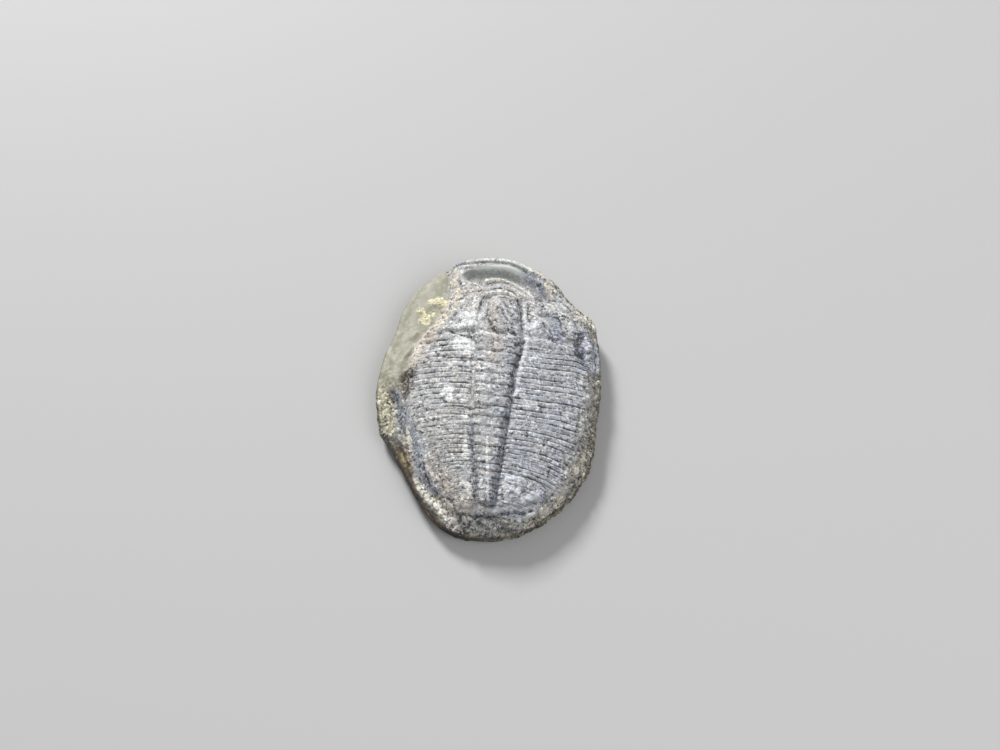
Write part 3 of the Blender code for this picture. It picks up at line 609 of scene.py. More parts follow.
left_tip = -3.10 + 2.1 * (top_y - HOLLOW_TIP_Y) ** 2
in_hollow = ease(0.0, 0.25, top_y - rear_line) * ease(12.50, 12.32, station) * (station > 9.0)
hollow = whole(in_hollow * ease(left_tip, left_tip + 0.45, top_x) * ease(3.1, 1.9, top_x))
ledge = (x < 0) * ease(-1.2, 0.6, y + waver) * ease(0.02, 0.20, share_out) * above_base
LEDGE_BREAK = ((-6.46, 0.87), (-7.0, 0.3), (-6.9, -0.8))
ledge = ledge * (1 - near_path(x, y, LEDGE_BREAK, 0.95, waver)) * (bearing >= 112)
wall = ease(0.0, 0.12, down)


def marks(half_width, *paths, uneven=1.0):
    """A mask of one or more paths."""
    return np.max([near_path(x, y, path, half_width, waver * uneven) for path in paths], axis=0)


# The paths that each finish follows: half width, how uneven the border is, strength, paths.
MARKS = {
    "yellow": (
        (0.6, 1.0, 1.0, ((-5.65, 8.02), (-5.01, 8.02), (-4.37, 8.03)), ((-6.38, 7.2), (-5.94, 6.56),
            (-5.43, 6.87)), ((-6.35, 6.24), (-5.71, 6.15))),
        (0.3, 1.0, 1.0, ((-5.0, 8.6), (-4.6, 8.5))),
    ),
    "khaki": (
        (1.0, 1.0, 1.0, ((-8.93, -0.9), (-8.51, -1.83), (-8.47, -2.74), (-8.11, -3.55), (-7.8, -4.05))),
        (0.8, 1.0, 1.0, ((-9.16, 1.21), (-8.41, 0.51), (-8.68, -0.33)), ((-8.9, -0.5), (-9.2, 0.4))),
    ),
    "cream_and_highlight": (
        (0.75, 1.0, 1.0, ((-6.0, 3.6), (-6.72, 3.43), (-7.34, 2.57), (-7.61, 1.89), (-7.69, 1.12)),
            ((-6.2, 3.0), (-6.6, 1.6))),
        (1.05, 1.0, 1.0, ((-5.14, 8.0), (-5.57, 6.46), (-5.2, 5.0), (-5.84, 4.26)), ((-4.3, 7.7),
            (-4.6, 6.2))),
        (0.7, 1.0, 1.0, ((-3.75, 11.0), (-3.75, 10.2), (-3.5, 9.4), (-3.2, 8.3), (-3.35, 7.4),
            (-3.65, 6.7))),
        (0.6, 1.0, 1.0, RIGHT_SPUR, ((5.0, 9.6), (4.7, 10.3))),
        (0.45, 1.0, 1.0, ((8.41, -5.48), (8.07, -6.16), (7.37, -7.2)), ((6.89, -8.86), (6.4, -9.4)),
            ((5.22, -10.45), (5.6, -10.2))),
        (0.8, 1.0, 0.7, ((-6.59, -4.87), (-6.42, -5.7), (-6.23, -6.57), (-5.99, -7.24))),
        (0.75, 1.0, 1.0, ((-3.18, -10.05), (-2.73, -10.52), (-2.21, -10.96), (-2.93, -11.0))),
        # Painted highlight in cream on the front step, the lobe tip, a ridge between them and the rim's right
        # end.
        (0.55, 1.0, 0.5, ((-0.79, 10.46), (-0.08, 10.5), (0.65, 10.5), (1.3, 10.2), (1.95, 9.9),
            (2.52, 9.6), (3.2, 9.0)), LOBE_TIP[1:]),
        (0.3, 0.2, 1.0, ((-2.92, 9.12), (-2.02, 9.17), (-1.0, 9.05)), ((3.0, 11.7), (3.7, 11.25),
            (4.33, 10.95))),
    ),
    "dark": (
        (0.6, 1.0, 0.9, ((8.08, 5.3), (7.6, 5.12), (7.35, 4.43), (7.46, 3.46), (7.89, 3.4))),
        (0.5, 1.0, 0.5, ((7.97, 2.72), (8.5, 2.41), (8.86, 3.17), (8.51, 1.82))),
        (0.8, 1.0, 1.0, ((-6.46, 0.87), (-7.12, 0.7), (-7.25, -0.14), (-6.79, -1.02), (-6.5, -0.35))),
        (0.2, 0.3, 1.0, ((-3.71, 8.0), (-3.75, 8.05)), ((-3.08, 9.75), (-3.1, 9.8)), ((-4.45, 7.0),
            (-4.4, 7.05))),
    ),
    "blue": (
        (0.9, 1.0, 1.0, ((3.0, 10.9), (3.9, 10.3), (4.4, 9.6))),
        (0.85, 1.0, 1.0, ((-7.64, -0.89), (-7.26, -1.89), (-6.98, -2.79), (-6.5, -3.94), (-5.7, -4.8),
            (-5.31, -5.77), (-5.16, -6.47), (-5.03, -7.09), (-4.8, -7.72), (-4.32, -8.3), (-3.85, -8.87),
            (-3.48, -9.35))),
        (0.75, 1.0, 1.0, ((5.29, 6.47), (5.58, 5.68), (5.35, 4.82), (5.97, 4.64)), ((2.62, 10.89),
            (3.38, 10.48), (4.13, 10.05))),
        (1.1, 1.0, 0.7, ((8.0, 5.2), (7.8, 3.6), (8.4, 2.4))),
        (0.9, 1.0, 1.0, ((8.9, 4.6), (9.1, 3.4), (9.2, 2.4))),
    ),
    "pink": (
        (1.5, 1.0, 1.0, ((-4.0, -7.6), (-3.03, -8.53), (-2.58, -9.02), (-2.2, -9.65), (-1.67, -10.13),
            (-0.8, -10.5))),
        (1.7, 1.0, 1.0, ((-4.9, 7.4), (-4.9, 6.0), (-5.3, 4.6), (-5.9, 3.2), (-6.6, 2.0))),
        (0.42, 0.5, 1.0, ((-2.68, 8.53), (-1.97, 8.6), (-1.27, 8.7)), ((2.28, 8.83), (2.64, 8.58),
            (3.01, 8.33))),
        (0.24, 0.3, 1.0, ((-0.15, 8.04), (-0.1, 8.05)), ((0.69, 7.98), (0.75, 8.0))),
        (1.1, 1.0, 0.8, ((0.02, 7.0), (0.17, 6.12), (0.4, 4.4), (0.6, 3.0), (0.5, 1.2))),
    ),
    # A painted highlight along the glossy roll inside the front hollow.
    "roll": (
        (0.3, 0.3, 1.0, ((-1.86, 11.5), (-1.05, 11.6), (-0.42, 11.68), (0.31, 11.7), (1.04, 11.6),
            (1.59, 11.4), (2.15, 11.11), (2.54, 10.73))),
    ),
    "shade": (
        (0.55, 0.4, 1.0, ((-3.1, 10.7), (-2.4, 10.85), (-1.6, 10.95), (-0.4, 10.98), (0.9, 10.95),
            (1.9, 10.6))),
    ),
    # White places of the shell and matrix, and painted highlights: on the rim's crest, over pale shell, and
    # on the front step and the lobe tip.
    "white": (
        (0.34, 0.5, 0.7, ((-3.19, 11.1), (-2.95, 11.45), (-2.44, 11.88), (-1.82, 12.14), (-1.29, 12.29),
            (-0.66, 12.39), (0.25, 12.43), (1.16, 12.39), (1.8, 12.24), (2.36, 12.02), (3.02, 11.7),
            (3.67, 11.45), (4.23, 11.3))),
        (0.28, 0.25, 0.8, FRONT_STEP, LOBE_TIP),
        (0.32, 1.0, 1.0, LOBE_LEFT_RIM),
        (0.6, 1.0, 0.55, ((-2.7, 6.28), (-1.94, 6.29), (-1.4, 6.1)), ((-3.32, 5.07), (-2.52, 5.01)),
            ((-3.39, 3.35), (-2.69, 3.11), (-2.18, 3.2))),
        (0.5, 1.0, 0.7, ((-2.02, 2.34), (-1.7, 2.4)), ((-2.7, 2.6), (-1.93, 2.37)), ((-3.63, 1.43),
            (-2.86, 1.41))),
        (0.36, 0.8, 0.7, CHEEK_RIDGE),
        (0.4, 0.8, 0.9, ((3.2, 4.2), (3.1, 3.4), (2.95, 2.4), (2.8, 1.2), (2.55, 0.2), (2.45, -1.2))),
        (0.18, 0.6, 1.0, ((7.8, 4.75), (8.15, 4.45), (8.5, 4.1)), ((8.2, 4.9), (8.6, 4.5)), ((8.9, 3.2),
            (9.1, 2.2))),
        (0.42, 1.0, 0.8, ((3.45, 6.65), (3.91, 6.14), (3.68, 5.42)), ((4.69, 6.02), (4.88, 5.65)),
            ((3.6, 2.2), (4.6, 2.5))),
        (0.26, 0.5, 0.9, CHEEK_EDGE, ((6.5, 6.3), (7.0, 5.7))),
        (0.48, 1.0, 1.0, ((2.15, -9.05), (2.71, -9.12), (3.2, -9.2)), ((3.63, -9.86), (4.17, -9.56),
            (4.71, -9.18)), ((2.3, -8.4), (3.1, -8.4))),
        (0.5, 1.0, 0.7, ((-1.51, -3.37), (-0.99, -3.98), (-1.52, -4.51))),
        (0.2, 0.8, 1.0, ((0.34, -11.33), (0.68, -11.66), (1.24, -11.88), (1.65, -12.1)), ((1.77, -11.52),
            (2.33, -11.56), (2.51, -11.87)), ((3.71, -11.05), (4.25, -10.71), (4.82, -10.7)),
            ((-0.3, -12.1), (-0.1, -11.7), (0.2, -11.5))),
        (0.35, 1.0, 0.8, ((-9.05, 3.6), (-8.54, 2.7), (-8.12, 1.8), (-7.9, 1.0))),
        (0.38, 0.4, 1.0, LEFT_CHIP, LEFT_CHIP_TOP),
        (0.45, 1.0, 1.0, ((-1.21, -8.79), (-0.78, -9.04), (-0.57, -9.66)), ((-1.3, -5.6), (-1.2, -6.6))),
        (0.15, 0.45, 0.8, ((0.44, -5.17), (0.55, -6.71), (0.69, -7.92), (0.77, -9.08), (0.89, -10.19))),
        (0.11, 0.2, 1.0, LOBE_SCAR, ((1.62, 6.51), (1.89, 6.35), (2.16, 6.09)), ((2.37, 5.66),
            (2.54, 5.69))),
    ),
    "chip": (
        (0.4, 0.3, 1.0, LEFT_CHIP, LEFT_CHIP_TOP),
        (0.62, 0.5, 0.85, ((-2.9, 3.6), (-2.3, 3.6), (-1.7, 3.4)), ((-2.8, 3.0), (-2.1, 2.9), (-1.6, 3.0)),
            ((-2.2, 5.9), (-1.5, 6.1), (-1.0, 6.0)), ((-2.3, 5.3), (-1.5, 5.4))),
    ),
    "crease": (
        # Painted shade in the cracks and creases.
        (0.12, 0.25, 1.0, *CREASES),
        (0.2, 0.25, 1.0, *DEEP_CREASES),
    ),
    "band": (
        (0.5, 0.5, 1.0, ((-0.6, -10.7), (0.29, -10.6), (1.47, -10.6), (2.64, -10.5), (3.82, -10.25),
            (4.6, -9.8))),
    ),
}
masks = {}
for name, parts in MARKS.items():
    found = [marks(half, *paths, uneven=uneven) * strength for half, uneven, strength, *paths in parts]
    masks[name] = np.max(found, axis=0)
# Where the lower-left wall and the matrix above it take the ochre rock layers and near-black painted shade.
masks["ochre_and_wall_shade"] = ease(205, 220, bearing) * ease(285, 268, bearing) * np.maximum(
    wall, ease(0.48, 0.72, share_out + 0.5 * waver - 0.20 * ease(231, 240, bearing)))
past_margin = whole(away - margin, 9.0) + 1.1 * waver
at_right = (bearing < 40) | (bearing > 295)
outside = np.maximum((1 - animal) * ease(0.02, 0.22, share_out), at_right * ease(-0.9, -0.1, past_margin))
front_rim = whole(ease(HEAD_FRONT + 0.4, HEAD_FRONT + 1.2, station) * (top_x < 4.6))
behind = whole(ease(SHIELD_END, SHIELD_END - 0.2, station))
crust = np.clip(outside * (1 - ledge) * (1 - front_rim) * (1 - 0.9 * masks["blue"]) + 0.8 * behind, 0, 1)
crust = crust * above_base * (1 - 0.6 * masks["khaki"])
crust = np.maximum(crust, 0.35 * masks["khaki"]) * (1 - 0.7 * masks["dark"])
rough = 0.8 * animal + 0.5 * crust + 0.5 * masks["cream_and_highlight"] + 0.4 * masks["yellow"]
rough = rough + 0.5 * masks["dark"] + 0.2 * front_rim
rough = rough * (1 - 0.85 * masks["band"]) * (1 - 0.92 * hollow * (1 - masks["cream_and_highlight"]))
rough = rough * (1 - 0.80 * ledge * (1 - masks["yellow"]))
joints = all_joints()
on_body = ease(BODY_FRONT + 0.02, BODY_FRONT - 0.05, station)
on_body = on_body * ease(TAIL_AXIS_END - 0.1, TAIL_AXIS_END + 0.2, station)
in_tail = ease(BODY_REAR + 0.1, BODY_REAR - 0.2, station)
rib_end = np.where(on_left, 0.30, -0.10)
on_side = on_body * ease(axis + 0.10, axis + 0.34, away) * ease(margin + 0.2, margin - 0.4, away + rib_end)
crest_zone = np.maximum(masks["cream_and_highlight"], marks(1.7, ((-5.6, 4.6), (-6.3, 2.9), (-7.0, 1.2))))
on_side = on_side * (1 - 0.8 * crest_zone[:rows * columns].reshape(rows, columns))
faint = on_left * ease(-0.5, -3.5, station) * (0.10 + 0.45 * ease(2.4, 4.2, away))
on_side = on_side * (1 - faint)
in_body = ease(8.8, 7.6, station) * ease(-10.9, -10.2, station)
# Painted shade along the flanks of the middle lobe on the body: wide on its right side, away from the light,
# and narrow on its left towards the tail.
right_flank_shade = hump(away, axis - 0.12, 0.62) * (top_x > MIDLINE) * ease(3.6, 2.0, station)
right_flank_shade = right_flank_shade * (1 + 0.35 * ease(-3.0, 0.0, station))
left_flank_shade = hump(away, axis, 0.36) * (top_x < MIDLINE) * ease(-2.5, -4.5, station)
less_bent = 0.45 * ease(4.5, 8.0, top_x) * ease(-5.0, 1.5, station)
CHEEK_WALL = ((8.2, 5.0), (8.6, 3.9), (8.9, 2.8), (9.1, 2.0))
LEFT_CHALK = ((-6.28, -4.19), *TAIL_SCALE, (-5.74, -7.23), (-5.49, -7.84), (-5.14, -8.35), (-4.88, -8.83))
REAR_CHALK = (
    (-4.59, -9.23), (-4.14, -9.64), (-3.66, -10.21), (-3.12, -10.5), (-2.6, -10.7), (-2.19, -11.18),
    (-1.92, -11.49),
)
masks = {
    **masks,
    "segment": whole(np.interp(less_bent - station, -joints, np.arange(len(joints)))),
    "across": whole(top_x - MIDLINE),
    "on_lobe": whole(on_body * ease(axis + 0.05, axis - 0.35, away) * (1 - 0.45 * in_tail)),
    "on_side": whole(on_side * (1 - in_tail * (1 - 0.5 * ease(margin - 0.5, margin - 1.9, away)))),
    "streaky": whole(ease(3.9, 3.2, station) * ease(margin + 0.2, margin - 0.6, away)) * animal,
    "painted_flank_shade": whole(np.maximum(right_flank_shade, left_flank_shade) * in_body),
    "cool": whole(ease(-1.0, 3.0, top_x) * ease(9.0, 2.0, station)) * animal,
    "rough": np.clip(rough, 0, 1.6) * ease(1.02, 0.8, down),
    "smooth": np.clip(hollow * (1 - masks["cream_and_highlight"]) + 0.85 * ledge, 0, 1),
    "hollow": hollow, "ledge": ledge, "crust": crust, "animal": animal, "wall": wall,
    "behind": behind,
    "grey_crust": np.maximum.reduce([
        0.6 * behind, 0.6 * at_right * ease(1.2, 0.2, past_margin),
        0.75 * ease(195, 205, bearing) * ease(245, 235, bearing) * ease(0.9, 0.6, share_out)]),
    "broken": np.maximum(masks["dark"], marks(1.1, CHEEK_WALL) * (down < 0.5)),
    "left_low": ease(180, 195, bearing) * ease(275, 255, bearing) * above_base,
    "chalk": np.maximum(marks(0.40, LEFT_CHALK, uneven=0.8), marks(0.80, REAR_CHALK) * (down < 0.15)),
}
masks["crust"] = crust * (1 - 0.7 * masks["chalk"]) * (1 - 0.75 * masks["ochre_and_wall_shade"])
for name, values in masks.items():
    stone_mesh.attributes.new(name, "FLOAT", "POINT").data.foreach_set("value", values.astype(np.float32))
home = np.stack([x, y, z], axis=1).astype(np.float32)
stone_mesh.attributes.new("home", "FLOAT_VECTOR", "POINT").data.foreach_set("vector", home.ravel())


class Value:
    """An output of a node tree. Sums and products of these add Math nodes, so a formula reads as one."""

    def __init__(self, tree, socket):
        self.tree = tree
        self.socket = socket

    def math(self, operation, *others):
        return put(self.tree, "ShaderNodeMath", (self, *others), operation=operation)

    def __add__(self, other):
        return self.math("ADD", other)

    def __sub__(self, other):
        return self.math("SUBTRACT", other)

    def __mul__(self, other):
        return self.math("MULTIPLY", other)

    def __rsub__(self, other):
        return self.math("MULTIPLY", -1.0) + other

    __radd__ = __add__
    __rmul__ = __mul__

    def rise(self, start, end):
        """0 before start and 1 after end, with a smooth rise between them."""
        settings = {"interpolation_type": "SMOOTHSTEP"}
        return put(self.tree, "ShaderNodeMapRange", (self, start, end, 0.0, 1.0), **settings)

    def near(self, level, width):
        """1 where the value is at this level, and 0 beyond width to either side of it."""
        return 1.0 - (self - level).math("ABSOLUTE").rise(0.0, width)

    def beside(self, output):
        """Another output of the same node."""
        return Value(self.tree, self.socket.node.outputs[output])


def put(tree, kind, feeds=(), out=0, **settings):
    """Adds a node with these settings, feeds its inputs, and returns one of its outputs."""
    node = tree.nodes.new(kind)
    for name, value in settings.items():
        setattr(node, name, value)
    for where, feed in feeds.items() if isinstance(feeds, dict) else enumerate(feeds):
        if isinstance(feed, Value):
            tree.links.new(feed.socket, node.inputs[where])
        elif feed is not None:
            node.inputs[where].default_value = feed
    return Value(tree, node.outputs[out]) if len(node.outputs) else None


def new_tree(name, kind, inputs, outputs):
    """An empty node tree with these (socket type, name, value) inputs and (socket type, name) outputs."""
    tree = bpy.data.node_groups.new(name, kind)
    for socket_type, label, value in inputs:
        socket = tree.interface.new_socket(label, in_out="INPUT", socket_type="NodeSocket" + socket_type)
        if value is not None:
            socket.default_value = value
    for socket_type, label in outputs:
        tree.interface.new_socket(label, in_out="OUTPUT", socket_type="NodeSocket" + socket_type)
    entry = tree.nodes.new("NodeGroupInput")
    return tree, {s.name: Value(tree, s) for s in entry.outputs if s.name}


def attribute(tree, name, kind="FLOAT"):
    """A named point value inside a Geometry Nodes tree."""
    node = tree.nodes.new("GeometryNodeInputNamedAttribute")
    node.data_type = kind
    node.inputs["Name"].default_value = name
    return Value(tree, next(s for s in node.outputs if s.enabled and s.name == "Attribute"))


def keep(geometry, name, value, domain="POINT"):
    """Stores a field under a name, so that later trees and the material can read it."""
    return put(geometry.tree, "GeometryNodeStoreNamedAttribute",
               {"Geometry": geometry, "Name": name, "Value": value}, data_type="FLOAT", domain=domain)


def vector_math(operation, *feeds):
    """A Vector Math node. Its sums are vectors, and its dot product is a number."""
    out = 1 if operation == "DOT_PRODUCT" else 0
    tree = feeds[0].tree
    feeds = {"Vector": feeds[0], "Scale": feeds[1]} if operation == "SCALE" else feeds
    return put(tree, "ShaderNodeVectorMath", feeds, out=out, operation=operation)


def mottle(vector, scale, detail=2.0, roughness=0.5, distortion=0.0):
    """Noise from 0 to 1, with `scale` lumps to the millimetre."""
    return put(vector.tree, "ShaderNodeTexNoise", {
        "Vector": vector, "Scale": scale, "Detail": detail, "Roughness": roughness, "Distortion": distortion})


def cells(vector, per_mm, bend=0.9):
    """Uneven grains side by side: the tone of each one, its dome, and the gap from its border."""
    tree, vector = vector.tree, vector_math("SCALE", vector, per_mm)
    warp = put(tree, "ShaderNodeTexNoise", {"Vector": vector, "Scale": 1.0, "Detail": 2.0}, out=1)
    warp = vector_math("SCALE", vector_math("SUBTRACT", warp, (0.5, 0.5, 0.5)), bend)
    vector = vector_math("ADD", vector, warp)
    middle = put(tree, "ShaderNodeTexVoronoi", {"Vector": vector, "Scale": 1.0})
    tone = vector_math("DOT_PRODUCT", middle.beside("Color"), (1, 0, 0))
    dome = 1.0 - (middle * 1.3).math("POWER", 2.0)
    gap = put(tree, "ShaderNodeTexVoronoi", {"Vector": vector, "Scale": 1.0}, feature="DISTANCE_TO_EDGE")
    return tone, dome.math("MAXIMUM", 0.0), gap


def shifted(place, amount, *scales):
    """A place stretched by scales and moved by the amount that a seed gives."""
    place = vector_math("MULTIPLY", place, scales or (1, 1, 1))
    step = put(place.tree, "ShaderNodeCombineXYZ", (amount * 3.7, amount * 1.9, amount * 5.3))
    return vector_math("ADD", place, step)


def home_of(tree, amount, *scales):
    """Where a point of the stone lay before it was roughened, stretched and moved as above."""
    return shifted(attribute(tree, "home", "FLOAT_VECTOR"), amount, *scales)


def push_out(geometry, amount):
    """Moves the surface out along its normal."""
    offset = vector_math("SCALE", put(geometry.tree, "GeometryNodeInputNormal"), amount)
    return put(geometry.tree, "GeometryNodeSetPosition", {"Geometry": geometry, "Offset": offset})


def finish_tree(geometry, material):
    """Ends a tree: lifts what is below the table's plane, realises instances and sets the material."""
    tree = geometry.tree
    height = put(tree, "ShaderNodeSeparateXYZ", (put(tree, "GeometryNodeInputPosition"),), out=2)
    lift = put(tree, "ShaderNodeCombineXYZ", (0.0, 0.0, height.math("MINIMUM", 0.0) * -1.0))
    geometry = put(tree, "GeometryNodeSetPosition", {"Geometry": geometry, "Offset": lift})
    geometry = put(tree, "GeometryNodeRealizeInstances", (geometry,))
    geometry = put(tree, "GeometryNodeSetMaterial", {"Geometry": geometry, "Material": material})
    put(tree, "NodeGroupOutput", (geometry,))
    return tree


# Growth streaks of the shell: how many to the millimetre across, and how many to the segment along.
STREAKS_ACROSS, STREAKS_ALONG = 2.2, 6.5
# How many grains of each kind there are to the millimetre, and the level at which flakes of calcite show.
COARSE, SMALL, PLATES, KNOBS, LUMPS = 3.6, 6.2, 1.5, 2.4, 1.3
FLAKE_LEVEL = 0.570


def segment_relief():
    """The rings of the middle lobe, and each segment's two ribs at each side, with their furrows."""
    tree, given = new_tree("segment relief", "GeometryNodeTree", (
        ("Geometry", "Geometry", None), ("Float", "Ring Height", 0.15), ("Float", "Rib Height", 0.1),
        ("Float", "Furrow Width", 0.16), ("Float", "Wander", 0.2), ("Float", "Streak Height", 0.03),
        ("Float", "Seed", 1.0), ("Material", "Material", None)), (("Geometry", "Geometry"),))
    wobble = mottle(home_of(tree, given["Seed"], 0.5, 0.9, 0.9), 0.8, 2.0, 0.4) - 0.5
    phase = attribute(tree, "segment") + wobble * given["Wander"]
    part = phase.math("FRACT")
    to_joint = part.math("MINIMUM", 1.0 - part)
    to_middle = (part - 0.5).math("ABSOLUTE")
    at_joint = 1.0 - to_joint.math("DIVIDE", given["Furrow Width"]).rise(0.0, 1.0)
    at_middle = 1.0 - to_middle.math("DIVIDE", given["Furrow Width"] * 0.85).rise(0.0, 1.0)
    fading = mottle(home_of(tree, given["Seed"] + 2.0, 0.35, 1.6, 1.0), 1.0, 2.0).rise(0.32, 0.58)
    fading_too = mottle(home_of(tree, given["Seed"] + 4.0, 0.45, 1.8, 1.0), 1.0, 2.0).rise(0.36, 0.60)
    furrow = (at_joint * (fading * 0.7 + 0.3)).math("MAXIMUM", at_middle * (fading_too * 0.75 + 0.1))
    furrow = furrow * attribute(tree, "on_side")
    ring = part.math("POWER", 0.8) * (1.0 - part.rise(0.74, 1.0)) - 0.42
    across = attribute(tree, "across") * STREAKS_ACROSS
    stretched = put(tree, "ShaderNodeCombineXYZ", (across, phase * STREAKS_ALONG, given["Seed"]))
    _, streak, _ = cells(stretched, 1.0)
    height = ring * given["Ring Height"] * attribute(tree, "on_lobe") - furrow * given["Rib Height"]
    height = height + (streak - 0.6) * given["Streak Height"] * attribute(tree, "streaky")
    geometry = keep(given["Geometry"], "phase", phase)
    geometry = keep(geometry, "joint_shows", fading)
    geometry = keep(geometry, "middle_shows", fading_too)
    return finish_tree(push_out(geometry, height), given["Material"])


def calcite_sheet(home, white, amount):
    """Noise that comes through as thin flakes of white calcite where it passes FLAKE_LEVEL."""
    return mottle(shifted(home, amount, 0.8, 1.3, 1.0), 1.3, 5.0, 0.62, 0.3) + white * 0.14


def weathered_surface():
    """Lumps, grains, crumbly crust, thin flakes of white calcite and pits, by how rough each place is."""
    tree, given = new_tree("weathered surface", "GeometryNodeTree", (
        ("Geometry", "Geometry", None), ("Float", "Lump Height", 0.1), ("Float", "Grain Height", 0.08),
        ("Float", "Crust Height", 0.2), ("Float", "Flake Height", 0.05), ("Float", "Pit Depth", 0.08),
        ("Float", "Seed", 1.0), ("Material", "Material", None)), (("Geometry", "Geometry"),))
    rough, crust = attribute(tree, "rough"), attribute(tree, "crust")
    home = attribute(tree, "home", "FLOAT_VECTOR")
    lumps = (mottle(home_of(tree, given["Seed"]), 1.5, 3.0, 0.55) - 0.5) * given["Lump Height"] * rough
    _, grain, _ = cells(home, COARSE)
    fine = mottle(home, 7.0, 2.0, 0.6) - 0.5
    grains = (grain - 0.6 + fine * 0.8) * given["Grain Height"] * rough
    _, dome, gap = cells(home, KNOBS)
    broken = mottle(home, 1.1, 5.0, 0.62) - 0.5
    lumpy = (broken * 2.4 + dome * 0.35 - (1.0 - gap.rise(0.0, 0.12)) * 0.3) * given["Crust Height"] * crust
    sheet = calcite_sheet(home, attribute(tree, "white"), given["Seed"] + 3.0)
    flake = sheet.rise(FLAKE_LEVEL - 0.010, FLAKE_LEVEL + 0.010) * rough.math("MINIMUM", 1.0)
    pit = (1.0 - mottle(home_of(tree, given["Seed"] + 5.0), 2.6, 3.0, 0.5).rise(0.27, 0.35)) * rough
    height = lumps + grains + lumpy + flake * given["Flake Height"] - pit * given["Pit Depth"]
    geometry = keep(given["Geometry"], "flake", flake)
    geometry = keep(geometry, "pit", pit)
    return finish_tree(push_out(geometry, height), given["Material"])


def crystals():
    """Shader group: grains side by side, with the tone of each one, its dome and the gap round it."""
    tree, given = new_tree("crystals", "ShaderNodeTree", (
        ("Vector", "Place", None), ("Float", "Grains per mm", 5.0)),
        (("Float", "Tone"), ("Float", "Dome"), ("Float", "Gap")))
    put(tree, "NodeGroupOutput", cells(given["Place"], given["Grains per mm"]))
    return tree


def mineral_stain():
    """Shader group: a stain whose border is eaten away by noise."""
    tree, given = new_tree("mineral stain", "ShaderNodeTree", (
        ("Vector", "Place", None), ("Float", "Cover", 0.0), ("Float", "Patches per mm", 1.6),
        ("Float", "Break-up", 0.8)), (("Float", "Mask"),))
    blotch = mottle(given["Place"], given["Patches per mm"], 5.0, 0.7)
    mask = (given["Cover"] + (blotch - 0.5) * given["Break-up"] * 2.0).rise(0.25, 0.68)
    put(tree, "NodeGroupOutput", (mask * given["Cover"].rise(0.0, 0.15),))
    return tree


CRYSTALS, STAIN = crystals(), mineral_stain()


def stone_colours(name, base, roughness):
    """A new material, its tree, and its shader with the uniform values set."""
    material = bpy.data.materials.new(name)
    material.use_nodes = True
    tree = material.node_tree
    shader = tree.nodes["Principled BSDF"]
    shader.inputs["Base Color"].default_value = (*base, 1)
    shader.inputs["Roughness"].default_value = roughness
    return material, tree, shader


def painted(tree, mask, below, above, blend="MIX"):
    """The colour below, with the colour above laid over it where the mask is 1."""
    colours = [(*c, 1) if isinstance(c, tuple) else c for c in (below, above)]
    feeds = {0: mask, 6: colours[0], 7: colours[1]}
    return put(tree, "ShaderNodeMix", feeds, out=2, data_type="RGBA", blend_type=blend)


def tinted(tree, mask, colour, tint):
    """The colour, multiplied by a tint where the mask is 1."""
    return painted(tree, mask, colour, tint, "MULTIPLY")


def ramp(value, *stops):
    """A colour that runs through these (place, colour) stops as the value rises."""
    colour = put(value.tree, "ShaderNodeValToRGB", (value,))
    elements = colour.socket.node.color_ramp.elements
    elements[0].position, elements[-1].position = stops[0][0], stops[-1][0]
    for at, _ in stops[1:-1]:
        elements.new(at)
    for element, (_, shade) in zip(elements, stops):
        element.color = (*shade, 1)
    return colour


def read(tree, name, out="Fac"):
    """A named point value inside a material."""
    return put(tree, "ShaderNodeAttribute", attribute_name=name, out=out)


def grains(place, per_mm):
    """One use of the crystals group."""
    return put(place.tree, "ShaderNodeGroup", {"Place": place, "Grains per mm": per_mm}, node_tree=CRYSTALS)


def stain(place, cover, patches, break_up):
    """One use of the mineral stain group."""
    feeds = {"Place": place, "Cover": cover, "Patches per mm": patches, "Break-up": break_up}
    return put(place.tree, "ShaderNodeGroup", feeds, node_tree=STAIN)


NEUTRAL = ((0.0, (0.050, 0.052, 0.058)), (0.25, (0.205, 0.208, 0.214)), (0.5, (0.405, 0.408, 0.405)),
           (0.75, (0.57, 0.572, 0.565)), (1.0, (0.86, 0.86, 0.84)))
CRUSTY = ((0.0, (0.030, 0.027, 0.021)), (0.25, (0.13, 0.122, 0.095)), (0.5, (0.27, 0.258, 0.205)),
          (0.75, (0.44, 0.42, 0.34)), (1.0, (0.78, 0.75, 0.66)))
# The lower-left wall: near-black painted shade, through dark brown to the ochre layers of the rock.
STRATA_AND_SHADE = ((0.0, (0.006, 0.005, 0.004)), (0.46, (0.020, 0.016, 0.012)), (0.57, (0.075, 0.058, 0.038)),
          (0.66, (0.29, 0.22, 0.12)), (1.0, (0.60, 0.52, 0.36)))
SANDY = ((0.0, (0.05, 0.045, 0.03)), (0.4, (0.26, 0.24, 0.15)), (0.7, (0.48, 0.45, 0.31)),
         (1.0, (0.80, 0.77, 0.62)))
CHALK = ((0.0, (0.03, 0.026, 0.022)), (0.4, (0.30, 0.28, 0.24)), (0.65, (0.60, 0.57, 0.50)),
         (1.0, (0.88, 0.86, 0.80)))
COOL, WARM, BLUE = (0.955, 0.985, 1.06), (1.07, 1.0, 0.94), (0.90, 0.95, 1.09)
COOL_GRAIN, WARM_GRAIN = (0.972, 0.995, 1.025), (1.045, 1.0, 0.955)
RUSTY, WALL_SHADE = (1.0, 0.89, 0.76), (0.55, 0.52, 0.47)
KHAKI, PALE_KHAKI = (0.275, 0.265, 0.195), (0.44, 0.43, 0.34)
GREY_GREEN, PALE_GREEN = (0.225, 0.240, 0.222), (0.62, 0.64, 0.61)
YELLOW, CREAM, CHIP_WHITE = (0.66, 0.61, 0.38), (0.66, 0.60, 0.50), (0.78, 0.795, 0.79)
GRAIN_RELIEF = 0.04

